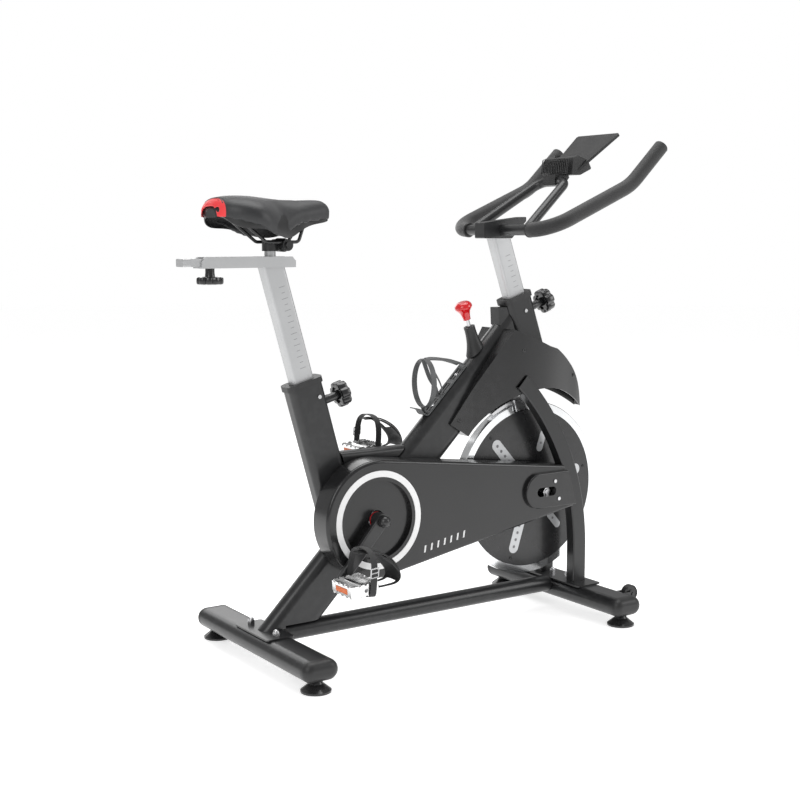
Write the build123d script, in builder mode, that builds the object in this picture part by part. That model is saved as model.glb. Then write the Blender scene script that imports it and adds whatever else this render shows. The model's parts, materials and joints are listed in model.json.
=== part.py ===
"""Indoor spin bike: belt-driven flywheel cycle on a single diagonal beam.

All sizes are in millimetres. Stations run forward from the line of the rear feet, heights run
up from the floor, and +Y is the rider's left. The origin is on the floor, midway along the bike.
"""

from build123d import *
from math import acos, atan2, cos, degrees, hypot, radians, sin
import os

os.makedirs("parts", exist_ok=True)

# ---------------------------------------------------------------- driving dimensions
MID = 389.65  # station of the origin

# Base
REAR, FRONT = 0.0, 811.6  # stations of the two stabilisers and their feet
FOOT_Y = 215.0
STAB_Z, STAB_DEPTH, STAB_HEIGHT, STAB_HALF = 45.5, 80.0, 43.0, 222.0
CAP_LENGTH, CAP_ROUND = 23.0, 17.0
PLATE_Z, PLATE_T = 67.0, 3.5
WALL = 2.5
STUD_R = 5.0
WHEEL_S, WHEEL_Y, WHEEL_Z, WHEEL_R, WHEEL_W = 874.0, 176.0, 56.0, 20.0, 18.0
BOTTOM_TUBE_R, BOTTOM_TUBE_Z = 19.5, 57.5

# Frame tubes
BEAM_RISE = 12.5  # height of the beam's centreline above its station
BEAM_DEPTH, TUBE_WIDTH = 98.5, 44.0
SEAT_S, SEAT_Z, SEAT_TILT, SEAT_DEPTH = 99.0, 577.0, 15.9, 80.0
HEAD_S, HEAD_Z, HEAD_TILT, HEAD_DEPTH = 663.5, 741.0, 19.2, 75.0
HEAD_LENGTH = 180.0
TUBE_CORNER = 14.0
BRACE_Z, BRACE_HEIGHT = 416.0, 30.0
LEG_R, LEG_TURN, LEG_DEPTH, LEG_FOOT_Z = 560.0, 47.0, 38.0, 150.0
LEG_INNER, LEG_OUTER = 45.0, 72.0
CROWN_REAR, CROWN_FRONT, CROWN_R = (646.0, 557.0), (706.0, 590.0), 17.0

# Posts
POST_DEPTH, POST_WIDTH, POST_CORNER, POST_WALL = 50.0, 30.0, 7.0, 2.5
POST_GAP = 0.4  # clearance between a post and its collar
SEAT_POST_UP, SEAT_POST_DOWN = 257.0, 150.0  # lengths above and below the collar's top
BAR_POST_UP, BAR_POST_DOWN = 148.0, 120.0
COLLAR_HEIGHT = 12.0

# Drive
CRANK_S, CRANK_Z, CRANK_LENGTH, CRANK_LEAN = 236.0, 290.0, 152.0, 41.5
FLY_S, FLY_Z, FLY_R, FLY_HALF = 703.0, 299.4, 204.0, 12.5
COVER_DISC_R = 186.0  # dark face discs inside the bright rim
PULLEY_R, SPROCKET_R = 90.0, 22.5
BELT_Y, BELT_HALF, BELT_T, BELT_GAP = -39.0, 6.0, 3.5, 0.3
SPINDLE_R, AXLE_R = 8.5, 7.5
AXLE_LEFT, AXLE_RIGHT = 75.0, -78.8
BEARING_R, BEARING_W = 17.5, 10.0
SHELL_R, SHELL_LEFT, SHELL_LENGTH = 22.0, 40.0, 64.0
RUN = 0.05  # radial running clearance
ARM_IN, ARM_OUT, BOSS_IN = 86.0, 98.0, 74.0
CAP_R, EYE_R, PIN_R = 13.0, 6.0, 4.5
PEDAL_Y, PEDAL_LENGTH, PEDAL_WIDTH, PEDAL_HEIGHT = 146.5, 66.0, 84.0, 26.0
PEDAL_PITCH = 5.0
STRAP_AT, STRAP_MID, STRAP_WIDE, STRAP_TALL, STRAP_T, STRAP_BAND = 9.0, 29.0, 91.5, 92.0, 2.2, 16.0

# Belt cover
COVER_BACK, COVER_FACE, COVER_R, COVER_T = -25.5, -82.0, 128.0, 2.5
RECESS_R, RECESS_Y = 85.0, -71.0
RING_OUT, RING_IN, RING_T = 106.4, 92.9, 1.6
COVER_TOP, COVER_BOTTOM = (760.0, 357.0), (790.0, 259.0)
HATCH_S, HATCH_Z, HATCH_R, HATCH_RISE = 672.0, 306.0, 41.0, 10.0

# Brake
ROD_S, ROD_Z, ROD_TILT, ROD_R = 517.0, 727.0, 20.0, 4.5
SHOE_GAP, SHOE_T = 4.0, 6.0

# Saddle and slider
SLIDE_BOTTOM, SLIDE_TOP, SLIDE_REAR, SLIDE_FRONT = 825.0, 847.0, -136.0, 75.0
SLIDE_HALF, SLIDE_WALL = 20.0, 3.0
STEM_S, STEM_R, STEM_TOP = 26.0, 11.5, 879.0
HINGE_S, HINGE_Z = 52.0, 870.0
RAIL_Y, RAIL_R = 22.0, 3.5
SLIDER_KNOB_S = -109.0

# Knobs
KNOB_R, KNOB_T, KNOB_STEM = 28.0, 22.0, 34.0
BOSS_R, BOSS_LENGTH = 9.5, 12.0

# Handlebar
BAR_S, BAR_Z, BAR_R, GRIP_R = 614.0, 907.0, 12.4, 16.5
GRIP_START, BAR_HALF = 112.0, 178.0
BEND_S, BEND_Z, TIP_S, TIP_Z = 850.0, 1001.0, 942.0, 1089.0
LOOP_BASE_Y, LOOP_FRONT_S, LOOP_FRONT_Y, LOOP_FRONT_Z, LOOP_R = 97.0, 775.0, 46.0, 1012.0, 11.0


# ---------------------------------------------------------------- placing
def spot(station, y, height):
    """Point of the row frame at a station, a distance to the left and a height."""
    return (station - MID, y, height)


def side(y=0.0, station=0.0, height=0.0):
    """Plane facing right at this y: local x is the station, local y the height."""
    return Plane(origin=spot(station, y, height), x_dir=(1, 0, 0), z_dir=(0, -1, 0))


def level(height):
    """Level plane at this height: local x is the station, local y runs left."""
    return Plane(origin=spot(0, 0, height), x_dir=(1, 0, 0), z_dir=(0, 0, 1))


def across(station, height, tilt, up=0.0, out=0.0, y=0.0):
    """Plane across a member leaning back by tilt; up runs along it and out ahead of it."""
    lean = radians(tilt)
    origin = spot(station - up * sin(lean) + out * cos(lean), y,
                  height + up * cos(lean) + out * sin(lean))
    return Plane(origin=origin, x_dir=(cos(lean), 0, sin(lean)), z_dir=(-sin(lean), 0, cos(lean)))


def ahead(station, height, tilt, up=0.0, out=0.0):
    """Plane facing forward from such a member, at right angles to it."""
    base = across(station, height, tilt, up, out)
    return Plane(origin=base.origin, x_dir=(0, 1, 0), z_dir=base.x_dir)


def along_beam(run, rise=0.0):
    """Station and height of a point on the beam's centreline, and rise above it."""
    station = run + (-rise) / 2 ** 0.5
    return station, run + BEAM_RISE + rise / 2 ** 0.5


def tangent_point(centre, radius, corner, turn):
    """Where the line from corner touches the circle, on the side given by turn."""
    dx, dy = corner[0] - centre[0], corner[1] - centre[1]
    angle = atan2(dy, dx) + turn * acos(radius / hypot(dx, dy))
    return centre[0] + radius * cos(angle), centre[1] + radius * sin(angle)


def export(piece, name):
    """Label a finished piece and write its STEP file."""
    piece.part.label = name
    export_step(piece.part, f"parts/{name}.step")


# ---------------------------------------------------------------- base
def stabiliser(station, wheels):
    """Flat-oval cross tube; the front one carries the wheel ears."""
    with BuildPart() as bar:
        with BuildSketch(side()):
            with Locations((station, STAB_Z)):
                SlotOverall(STAB_DEPTH, STAB_HEIGHT)
                SlotOverall(STAB_DEPTH - 2 * WALL, STAB_HEIGHT - 2 * WALL, mode=Mode.SUBTRACT)
        extrude(amount=STAB_HALF, both=True)
        if wheels:
            for hand in (-1, 1):
                for ear in (-1, 1):
                    y = hand * WHEEL_Y + ear * (WHEEL_W / 2 + 2.5)
                    with BuildSketch(side(y + 1.5)):
                        with BuildLine():
                            Polyline((station + 30, STAB_Z + 17), (WHEEL_S - 4, WHEEL_Z + 6),
                                     (WHEEL_S + 6, WHEEL_Z), (WHEEL_S + 2, WHEEL_Z - 7),
                                     (station + 38, STAB_Z - 4), close=True)
                        make_face()
                    extrude(amount=3)
                with BuildSketch(side(hand * WHEEL_Y)):
                    with Locations((WHEEL_S, WHEEL_Z)):
                        Circle(4.0)
                extrude(amount=WHEEL_W / 2 + 6, both=True)
        with Locations(*[spot(station, y, STAB_Z - STAB_HEIGHT / 2) for y in (-FOOT_Y, FOOT_Y)]):
            Cylinder(STUD_R + RUN, 3 * WALL, mode=Mode.SUBTRACT)
    return bar


export(stabiliser(REAR, False), "rear_stabiliser")
export(stabiliser(FRONT, True), "front_stabiliser")

with BuildPart() as end_caps:
    for cap_station in (REAR, FRONT):
        for hand in (-1, 1):
            with BuildSketch(side(hand * STAB_HALF)):
                with Locations((cap_station, STAB_Z)):
                    SlotOverall(STAB_DEPTH, STAB_HEIGHT)
            extrude(amount=-hand * CAP_LENGTH)
            with BuildSketch(side(hand * STAB_HALF)):
                with Locations((cap_station, STAB_Z)):
                    SlotOverall(STAB_DEPTH - 2 * WALL - 0.6, STAB_HEIGHT - 2 * WALL - 0.6)
                    SlotOverall(STAB_DEPTH - 16, STAB_HEIGHT - 16, mode=Mode.SUBTRACT)
            extrude(amount=hand * 16.0)
            with Locations(spot(cap_station, hand * FOOT_Y, STAB_Z)):
                Cylinder(STUD_R + 3, STAB_HEIGHT - 2 * WALL - 0.2, mode=Mode.SUBTRACT)
    outer_rims = end_caps.edges().filter_by(
        lambda edge: abs(abs(edge.center().Y) - STAB_HALF - CAP_LENGTH) < 0.01)
    fillet(outer_rims, radius=CAP_ROUND)
export(end_caps, "stabiliser_end_caps")


def levelling_foot(station, y):
    """Conical glide on a threaded stud, its top just under the stabiliser."""
    under = STAB_Z - STAB_HEIGHT / 2
    with BuildPart() as foot:
        with BuildSketch(side(y, station)):
            with BuildLine():
                Polyline((0, 0), (31, 0), (31, 4), (15, 17), (12, under - 0.5), (STUD_R, under - 0.5),
                         (STUD_R, under + 18), (0, under + 18), close=True)
            make_face()
        revolve(axis=Axis(spot(station, y, 0), (0, 0, 1)))
    return foot


for end, end_station in (("rear", REAR), ("front", FRONT)):
    for hand_name, hand in (("right", -1), ("left", 1)):
        export(levelling_foot(end_station, hand * FOOT_Y), f"foot_{end}_{hand_name}")


def transport_wheel(y):
    """Small solid wheel with a waisted tread, turning on its pin."""
    half = WHEEL_W / 2
    with BuildPart() as wheel:
        with BuildSketch(Plane(origin=spot(WHEEL_S, y, WHEEL_Z), x_dir=(1, 0, 0), z_dir=(0, 0, 1))):
            with BuildLine():
                Polyline((4 + RUN, -half), (9, -half), (9, -half + 2), (WHEEL_R - 3, -half + 2),
                         (WHEEL_R - 2, -half), (WHEEL_R, -half + 3), (WHEEL_R, half - 3),
                         (WHEEL_R - 2, half), (WHEEL_R - 3, half - 2), (9, half - 2), (9, half),
                         (4 + RUN, half), close=True)
            make_face()
        revolve(axis=Axis(spot(WHEEL_S, y, WHEEL_Z), (0, 1, 0)))
    return wheel


export(transport_wheel(-WHEEL_Y), "transport_wheel_right")
export(transport_wheel(WHEEL_Y), "transport_wheel_left")

with BuildPart() as bottom_tube:
    with BuildSketch(Plane(origin=spot(REAR + 41.5, 0, BOTTOM_TUBE_Z), z_dir=(1, 0, 0))):
        Circle(BOTTOM_TUBE_R)
        Circle(BOTTOM_TUBE_R - WALL, mode=Mode.SUBTRACT)
    extrude(amount=FRONT - REAR - 83)
export(bottom_tube, "bottom_tube")

# ---------------------------------------------------------------- welded frame
BEAM_BASE = PLATE_Z + PLATE_T
ROD_DIR = (sin(radians(ROD_TILT)), 0, -cos(radians(ROD_TILT)))


def rod_plane(run):
    """Plane across the brake rod, this far down its axis from the knob's centre."""
    return Plane(origin=spot(ROD_S + run * ROD_DIR[0], 0, ROD_Z + run * ROD_DIR[2]), z_dir=ROD_DIR)


with BuildPart() as main_beam:
    with BuildSketch(across(0, BEAM_RISE, -45.0)):
        SlotOverall(BEAM_DEPTH, TUBE_WIDTH)
        SlotOverall(BEAM_DEPTH - 2 * WALL, TUBE_WIDTH - 2 * WALL, mode=Mode.SUBTRACT)
    extrude(amount=960)
    split(bisect_by=level(BEAM_BASE), keep=Keep.TOP)
    split(bisect_by=ahead(HEAD_S, HEAD_Z, HEAD_TILT, out=-HEAD_DEPTH / 2), keep=Keep.BOTTOM)
    with Locations(spot(REAR + 41.0, 0, BEAM_BASE)):
        Box(120, 60, 2 * (BOTTOM_TUBE_Z + BOTTOM_TUBE_R + 0.2 - BEAM_BASE),
            align=(Align.MIN, Align.CENTER, Align.CENTER), mode=Mode.SUBTRACT)
    with BuildSketch(side()):
        with BuildLine():
            Polyline((606, 687), (604, 726), (628, 726), (646, 690), (630, 670), close=True)
        make_face()
    extrude(amount=15, both=True)
    split(bisect_by=ahead(HEAD_S, HEAD_Z, HEAD_TILT, out=-HEAD_DEPTH / 2), keep=Keep.BOTTOM)
    with Locations(Plane(origin=spot(CRANK_S, 0, CRANK_Z), z_dir=(0, 1, 0))):
        Cylinder(SHELL_R + 0.1, 2 * TUBE_WIDTH, mode=Mode.SUBTRACT)
    with Locations(rod_plane(150)):
        Cylinder(ROD_R + 2, 160, mode=Mode.SUBTRACT)
export(main_beam, "main_beam")


def boss_and_bore(station, height, tilt, depth):
    """Weld a knob boss to the front face of a tube and drill it."""
    with BuildSketch(ahead(station, height, tilt, out=depth / 2 - 1)) as boss:
        Circle(BOSS_R)
    extrude(boss.sketch, amount=BOSS_LENGTH + 1)
    with BuildSketch(ahead(station, height, tilt, out=depth / 2 - 2 * WALL)) as bore:
        Circle(STUD_R + RUN)
    extrude(bore.sketch, amount=BOSS_LENGTH + 3 * WALL, mode=Mode.SUBTRACT)


SEAT_KNOB_DOWN, HEAD_KNOB_DOWN = 46.0, 32.0  # knob axis below the collar, along the tube
with BuildPart() as seat_tube:
    with BuildSketch(across(SEAT_S, SEAT_Z, SEAT_TILT, up=-360)):
        RectangleRounded(SEAT_DEPTH, TUBE_WIDTH, TUBE_CORNER)
        RectangleRounded(SEAT_DEPTH - 2 * WALL, TUBE_WIDTH - 2 * WALL, TUBE_CORNER - WALL,
                         mode=Mode.SUBTRACT)
    extrude(amount=360)
    top_station, top_height = along_beam(200, BEAM_DEPTH / 2)
    beam_top = Plane(origin=spot(top_station, 0, top_height), z_dir=(-1, 0, 1))
    split(bisect_by=beam_top, keep=Keep.TOP)
    with BuildSketch(side(SHELL_LEFT, CRANK_S, CRANK_Z)):
        Circle(SHELL_R + 0.1)
    extrude(amount=SHELL_LENGTH, mode=Mode.SUBTRACT)
    knob_seat = across(SEAT_S, SEAT_Z, SEAT_TILT, up=-SEAT_KNOB_DOWN).origin
    boss_and_bore(knob_seat.X + MID, knob_seat.Z, SEAT_TILT, SEAT_DEPTH)
export(seat_tube, "seat_tube")

with BuildPart() as brace_tube:
    with BuildSketch(Plane(origin=spot(100, 0, BRACE_Z), x_dir=(0, 1, 0), z_dir=(1, 0, 0))):
        RectangleRounded(38, BRACE_HEIGHT, 11)
        RectangleRounded(38 - 2 * WALL, BRACE_HEIGHT - 2 * WALL, 8, mode=Mode.SUBTRACT)
    extrude(amount=400)
    split(bisect_by=ahead(SEAT_S, SEAT_Z, SEAT_TILT, out=SEAT_DEPTH / 2), keep=Keep.TOP)
    split(bisect_by=beam_top, keep=Keep.TOP)
export(brace_tube, "brace_tube")

def crown_profile(grow):
    """Side outline of the crown that ties the fork legs to the head tube."""
    with BuildSketch() as outline:
        for centre in (CROWN_REAR, CROWN_FRONT):
            with Locations(centre):
                Circle(CROWN_R + grow)
        make_hull()
    return outline.sketch


with BuildPart() as head_tube:
    with BuildSketch(across(HEAD_S, HEAD_Z, HEAD_TILT, up=-HEAD_LENGTH)):
        RectangleRounded(HEAD_DEPTH, TUBE_WIDTH, TUBE_CORNER)
        RectangleRounded(HEAD_DEPTH - 2 * WALL, TUBE_WIDTH - 2 * WALL, TUBE_CORNER - WALL,
                         mode=Mode.SUBTRACT)
    extrude(amount=HEAD_LENGTH)
    knob_head = across(HEAD_S, HEAD_Z, HEAD_TILT, up=-HEAD_KNOB_DOWN).origin
    boss_and_bore(knob_head.X + MID, knob_head.Z, HEAD_TILT, HEAD_DEPTH)
    with BuildSketch(side()):
        add(crown_profile(0))
        add(crown_profile(-3), mode=Mode.SUBTRACT)
    extrude(amount=LEG_INNER - 0.1, both=True)
    with BuildSketch(across(HEAD_S, HEAD_Z, HEAD_TILT, up=-HEAD_LENGTH - 4)):
        RectangleRounded(HEAD_DEPTH - 2 * WALL, TUBE_WIDTH - 2 * WALL, TUBE_CORNER - WALL)
    extrude(amount=HEAD_LENGTH, mode=Mode.SUBTRACT)
export(head_tube, "head_tube")

LEG_CENTRE = (FRONT - LEG_R, LEG_FOOT_Z)


def leg_profile(inset):
    """Side outline of a fork leg: a straight foot that bends back along an arc."""
    reach = LEG_R + LEG_DEPTH
    with BuildSketch() as outline:
        with Locations(LEG_CENTRE):
            Circle(LEG_R + LEG_DEPTH / 2 - inset)
            Circle(LEG_R - LEG_DEPTH / 2 + inset, mode=Mode.SUBTRACT)
        with BuildLine():
            Polyline(LEG_CENTRE, (LEG_CENTRE[0] + 2 * reach, LEG_CENTRE[1]),
                     (LEG_CENTRE[0] + 2 * reach, LEG_CENTRE[1] + 2 * reach),
                     (LEG_CENTRE[0] + 2 * reach * cos(radians(LEG_TURN)),
                      LEG_CENTRE[1] + 2 * reach * sin(radians(LEG_TURN))), close=True)
        make_face(mode=Mode.INTERSECT)
        with Locations((FRONT, (LEG_FOOT_Z + BEAM_BASE) / 2)):
            Rectangle(LEG_DEPTH - 2 * inset, LEG_FOOT_Z - BEAM_BASE)
    return outline.sketch


def fork_leg(hand):
    """One bowed leg of rounded rectangular tube."""
    width = LEG_OUTER - LEG_INNER
    with BuildPart() as leg:
        with BuildSketch(side(hand * LEG_INNER)):
            add(leg_profile(0))
        extrude(amount=-hand * width)
        fillet(leg.edges().filter_by(Axis.Y, reverse=True).filter_by(
            lambda edge: abs(abs(edge.center().Y) - LEG_INNER) < 0.01
            or abs(abs(edge.center().Y) - LEG_OUTER) < 0.01).filter_by(
            lambda edge: edge.length > 60), radius=3.5)
        with BuildSketch(side(hand * (LEG_INNER + WALL))):
            add(leg_profile(WALL))
        extrude(amount=-hand * (width - 2 * WALL), mode=Mode.SUBTRACT)
    return leg


export(fork_leg(-1), "fork_leg_right")
export(fork_leg(1), "fork_leg_left")

DROPOUT_Y, DROPOUT_T = 50.0, 6.0
with BuildPart() as frame_plates:
    with BuildSketch(level(PLATE_Z)):
        with Locations((REAR + 2, 0)):
            RectangleRounded(64, 146, 6)
        with Locations((FRONT, 0)):
            RectangleRounded(70, 216, 6)
    extrude(amount=PLATE_T)
    for hand in (-1, 1):
        with BuildSketch(side(hand * DROPOUT_Y)):
            with Locations((FLY_S + 25, FLY_Z)):
                RectangleRounded(130, 46, 12)
            with Locations((FLY_S, FLY_Z)):
                SlotOverall(30, 2 * AXLE_R + 0.4, mode=Mode.SUBTRACT)
            with Locations(LEG_CENTRE):
                Circle(LEG_R - LEG_DEPTH / 2 - 0.2, mode=Mode.INTERSECT)
        extrude(amount=-hand * DROPOUT_T)
export(frame_plates, "frame_plates")

with BuildPart() as crank_shell:
    with BuildSketch(side(SHELL_LEFT, CRANK_S, CRANK_Z)):
        Circle(SHELL_R)
        Circle(BEARING_R + RUN, mode=Mode.SUBTRACT)
    extrude(amount=SHELL_LENGTH)
export(crank_shell, "crank_shell")

with BuildPart() as post_collars:
    for s, z, tilt, depth in ((SEAT_S, SEAT_Z, SEAT_TILT, SEAT_DEPTH),
                              (HEAD_S, HEAD_Z, HEAD_TILT, HEAD_DEPTH)):
        with BuildSketch(across(s, z, tilt, up=0.1)):
            RectangleRounded(depth + 5, TUBE_WIDTH + 6, TUBE_CORNER + 1)
        extrude(amount=COLLAR_HEIGHT)
        with BuildSketch(across(s, z, tilt, up=-60)):
            RectangleRounded(depth - 2 * WALL - 0.4, TUBE_WIDTH - 2 * WALL - 0.4, TUBE_CORNER - WALL)
        extrude(amount=60.1)
        with BuildSketch(across(s, z, tilt, up=-61)):
            RectangleRounded(POST_DEPTH + 2 * POST_GAP, POST_WIDTH + 2 * POST_GAP, POST_CORNER)
        extrude(amount=75, mode=Mode.SUBTRACT)
    for knob in ((knob_seat, SEAT_TILT), (knob_head, HEAD_TILT)):
        with BuildSketch(ahead(knob[0].X + MID, knob[0].Z, knob[1], out=POST_DEPTH / 2 - 5)):
            Circle(7)
        extrude(amount=25, mode=Mode.SUBTRACT)
export(post_collars, "post_collars")

# ---------------------------------------------------------------- drive
with BuildPart() as bearings:
    for s, z, y, bore in ((CRANK_S, CRANK_Z, -17.0, SPINDLE_R), (CRANK_S, CRANK_Z, 33.0, SPINDLE_R),
                          (FLY_S, FLY_Z, BELT_Y, AXLE_R), (FLY_S, FLY_Z, 18.0, AXLE_R)):
        with BuildSketch(side(y, s, z)):
            Circle(BEARING_R)
            Circle(bore + RUN, mode=Mode.SUBTRACT)
        extrude(amount=BEARING_W / 2, both=True)
export(bearings, "bearings")

with BuildPart() as flywheel_axle:
    with BuildSketch(side(AXLE_LEFT, FLY_S, FLY_Z)):
        Circle(AXLE_R)
    extrude(amount=AXLE_LEFT - AXLE_RIGHT)
    chamfer(flywheel_axle.edges(), length=1)
export(flywheel_axle, "flywheel_axle")

with BuildPart() as flywheel_rim:
    with BuildSketch(Plane(origin=spot(FLY_S, 0, FLY_Z), x_dir=(1, 0, 0), z_dir=(0, 0, 1))):
        with BuildLine():
            Polyline((28.1, -3), (168, -3), (172, -9.4), (COVER_DISC_R, -9.4), (COVER_DISC_R, -FLY_HALF),
                     (FLY_R - 1.5, -FLY_HALF), (FLY_R, -FLY_HALF + 1.5), (FLY_R, FLY_HALF - 1.5),
                     (FLY_R - 1.5, FLY_HALF), (COVER_DISC_R, FLY_HALF), (COVER_DISC_R, 9.4),
                     (172, 9.4), (168, 3), (28.1, 3), close=True)
        make_face()
    revolve(axis=Axis(spot(FLY_S, 0, FLY_Z), (0, 1, 0)))
export(flywheel_rim, "flywheel_rim")

with BuildPart() as flywheel_discs:
    for hand in (-1, 1):
        with BuildSketch(side(hand * 9.6, FLY_S, FLY_Z)):
            Circle(COVER_DISC_R - 0.3)
            Circle(28.2, mode=Mode.SUBTRACT)
        extrude(amount=-hand * 2.2)
export(flywheel_discs, "flywheel_discs")

with BuildPart() as flywheel_hub:
    with BuildSketch(Plane(origin=spot(FLY_S, 0, FLY_Z), x_dir=(1, 0, 0), z_dir=(0, 0, 1))):
        with BuildLine():
            Polyline((9, -30), (BEARING_R + RUN, -32), (BEARING_R + RUN, -47.5), (26, -47.5), (26, -46),
                     (SPROCKET_R, -46), (SPROCKET_R, -32), (26, -32), (26, -30), (28, -26), (28, 24),
                     (BEARING_R + RUN, 24), (BEARING_R + RUN, 12), (9, 10), close=True)
        make_face()
    revolve(axis=Axis(spot(FLY_S, 0, FLY_Z), (0, 1, 0)))
export(flywheel_hub, "flywheel_hub")

with BuildPart() as crank_spindle:
    with BuildSketch(side(ARM_OUT - 1.1, CRANK_S, CRANK_Z)):
        Circle(SPINDLE_R)
    extrude(amount=2 * (ARM_OUT - 1.1))
export(crank_spindle, "crank_spindle")

with BuildPart() as crank_pulley:
    with BuildSketch(side(BELT_Y + 7.5, CRANK_S, CRANK_Z)):
        Circle(PULLEY_R)
        with PolarLocations(56, 6):
            Circle(17, mode=Mode.SUBTRACT)
        Circle(SPINDLE_R + RUN, mode=Mode.SUBTRACT)
    extrude(amount=15)
    with BuildSketch(side(BELT_Y + 7.5, CRANK_S, CRANK_Z)):
        Circle(PULLEY_R - 8)
        Circle(26, mode=Mode.SUBTRACT)
    extrude(amount=5, mode=Mode.SUBTRACT)
    with BuildSketch(side(BELT_Y - 2.5, CRANK_S, CRANK_Z)):
        Circle(PULLEY_R - 8)
        Circle(26, mode=Mode.SUBTRACT)
    extrude(amount=5, mode=Mode.SUBTRACT)
export(crank_pulley, "crank_pulley")

with BuildPart() as drive_belt:
    with BuildSketch(side(BELT_Y + BELT_HALF)):
        for grow, how in ((BELT_GAP + BELT_T, Mode.ADD), (BELT_GAP, Mode.SUBTRACT)):
            with BuildSketch(mode=Mode.PRIVATE) as loop:
                with Locations((CRANK_S, CRANK_Z)):
                    Circle(PULLEY_R + grow)
                with Locations((FLY_S, FLY_Z)):
                    Circle(SPROCKET_R + grow)
                make_hull()
            add(loop.sketch, mode=how)
    extrude(amount=2 * BELT_HALF)
export(drive_belt, "drive_belt")

PEDAL_DS = -CRANK_LENGTH * sin(radians(CRANK_LEAN))
PEDAL_DZ = -CRANK_LENGTH * cos(radians(CRANK_LEAN))


def crank_arm(hand):
    """Tapered forged arm with a spindle boss, a pedal eye and a domed cap on the boss."""
    end = (CRANK_S - hand * PEDAL_DS, CRANK_Z - hand * PEDAL_DZ)
    with BuildPart() as arm:
        with BuildSketch(side(hand * ARM_IN)):
            with BuildSketch(mode=Mode.PRIVATE) as blade:
                with Locations((CRANK_S, CRANK_Z)):
                    Circle(15)
                with Locations(end):
                    Circle(11.5)
                make_hull()
            add(blade.sketch)
        extrude(amount=-hand * (ARM_OUT - ARM_IN))
        fillet(arm.edges().filter_by(lambda edge: edge.length > 60), radius=3)
        with BuildSketch(side(hand * BOSS_IN, CRANK_S, CRANK_Z)):
            Circle(17)
        extrude(amount=-hand * (ARM_OUT - BOSS_IN))
        with Locations(spot(CRANK_S, hand * (ARM_OUT + 5), CRANK_Z)):
            Sphere(CAP_R)
        with BuildSketch(side(hand * (BOSS_IN - 1), CRANK_S, CRANK_Z)):
            Circle(SPINDLE_R + 0.02)
        extrude(amount=-hand * (ARM_OUT - BOSS_IN), mode=Mode.SUBTRACT)
        with BuildSketch(side(hand * ARM_IN, *end)):
            Circle(EYE_R + 0.02)
        extrude(amount=-hand * 20, mode=Mode.SUBTRACT)
    return arm


def pedal_axle(hand):
    """Stepped pin from the crank's eye out through the pedal."""
    end = (CRANK_S - hand * PEDAL_DS, CRANK_Z - hand * PEDAL_DZ)
    with BuildSketch(side(hand * (ARM_IN + 1), *end)) as root:
        Circle(EYE_R)
    extrude(root.sketch, amount=-hand * (ARM_OUT + 4 - ARM_IN))
    with BuildSketch(side(hand * (ARM_OUT + 3), *end)) as pin:
        Circle(PIN_R)
    extrude(pin.sketch, amount=-hand * (PEDAL_Y + PEDAL_WIDTH / 2 - 6 - ARM_OUT - 3))


export(crank_arm(-1), "crank_arm_right")
export(crank_arm(1), "crank_arm_left")
with BuildPart() as pedal_axles:
    for hand in (-1, 1):
        pedal_axle(hand)
export(pedal_axles, "pedal_axles")


def pedal_plane(hand):
    """Level plane through a pedal's centre, pitched with the pedal; local x runs forward."""
    pitch = radians(PEDAL_PITCH)
    return Plane(origin=spot(CRANK_S - hand * PEDAL_DS, hand * PEDAL_Y, CRANK_Z - hand * PEDAL_DZ),
                 x_dir=(cos(pitch), 0, sin(pitch)), z_dir=(-sin(pitch), 0, cos(pitch)))


def pedal_side(hand, y=0.0):
    """Plane along a pedal's length and height, at y to the left of its centre."""
    base = pedal_plane(hand)
    origin = base.from_local_coords(Vector(0, y, 0))
    return Plane(origin=origin, x_dir=base.x_dir, z_dir=(0, -1, 0))


def pedal_cage(hand):
    """Toothed alloy cage round a bearing barrel, with two reflector blocks."""
    base = pedal_plane(hand)
    half_l, half_w, half_h = PEDAL_LENGTH / 2, PEDAL_WIDTH / 2, PEDAL_HEIGHT / 2
    with BuildPart() as cage:
        with BuildSketch(base.offset(-half_h)):
            RectangleRounded(PEDAL_LENGTH, PEDAL_WIDTH, 6)
            RectangleRounded(PEDAL_LENGTH - 7, PEDAL_WIDTH - 7, 3, mode=Mode.SUBTRACT)
        extrude(amount=PEDAL_HEIGHT)
        for end in (-1, 1):
            with Locations(base.offset(0) * Pos(end * half_l, 0, 0)):
                Box(16, 46, 15, mode=Mode.SUBTRACT)
            for edge in (-1, 1):
                with Locations(*[base * Pos(end * half_l, t, edge * half_h)
                                 for t in (-27, -9, 9, 27)]):
                    Box(12, 7, 6, mode=Mode.SUBTRACT)
        for flank in (-1, 1):
            for edge in (-1, 1):
                with Locations(*[base * Pos(t, flank * half_w, edge * half_h) for t in (-14, 0, 14)]):
                    Box(6, 12, 5, mode=Mode.SUBTRACT)
        with BuildSketch(pedal_side(hand, half_w)):
            Circle(10)
        extrude(amount=PEDAL_WIDTH)
        with BuildSketch(base.offset(-4)):
            for t in (-half_w * 0.55, half_w * 0.55):
                with Locations((0, t)):
                    Rectangle(PEDAL_LENGTH - 7, 5)
        extrude(amount=8)
        with BuildSketch(pedal_side(hand, half_w + 5)):
            Circle(PIN_R + RUN)
        extrude(amount=PEDAL_WIDTH + 10, mode=Mode.SUBTRACT)
        for end in (-1, 1):
            with Locations(base * Pos(end * (half_l - 3), 0, 0)):
                Box(5, 45.4, 14.4)
    return cage


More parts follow.
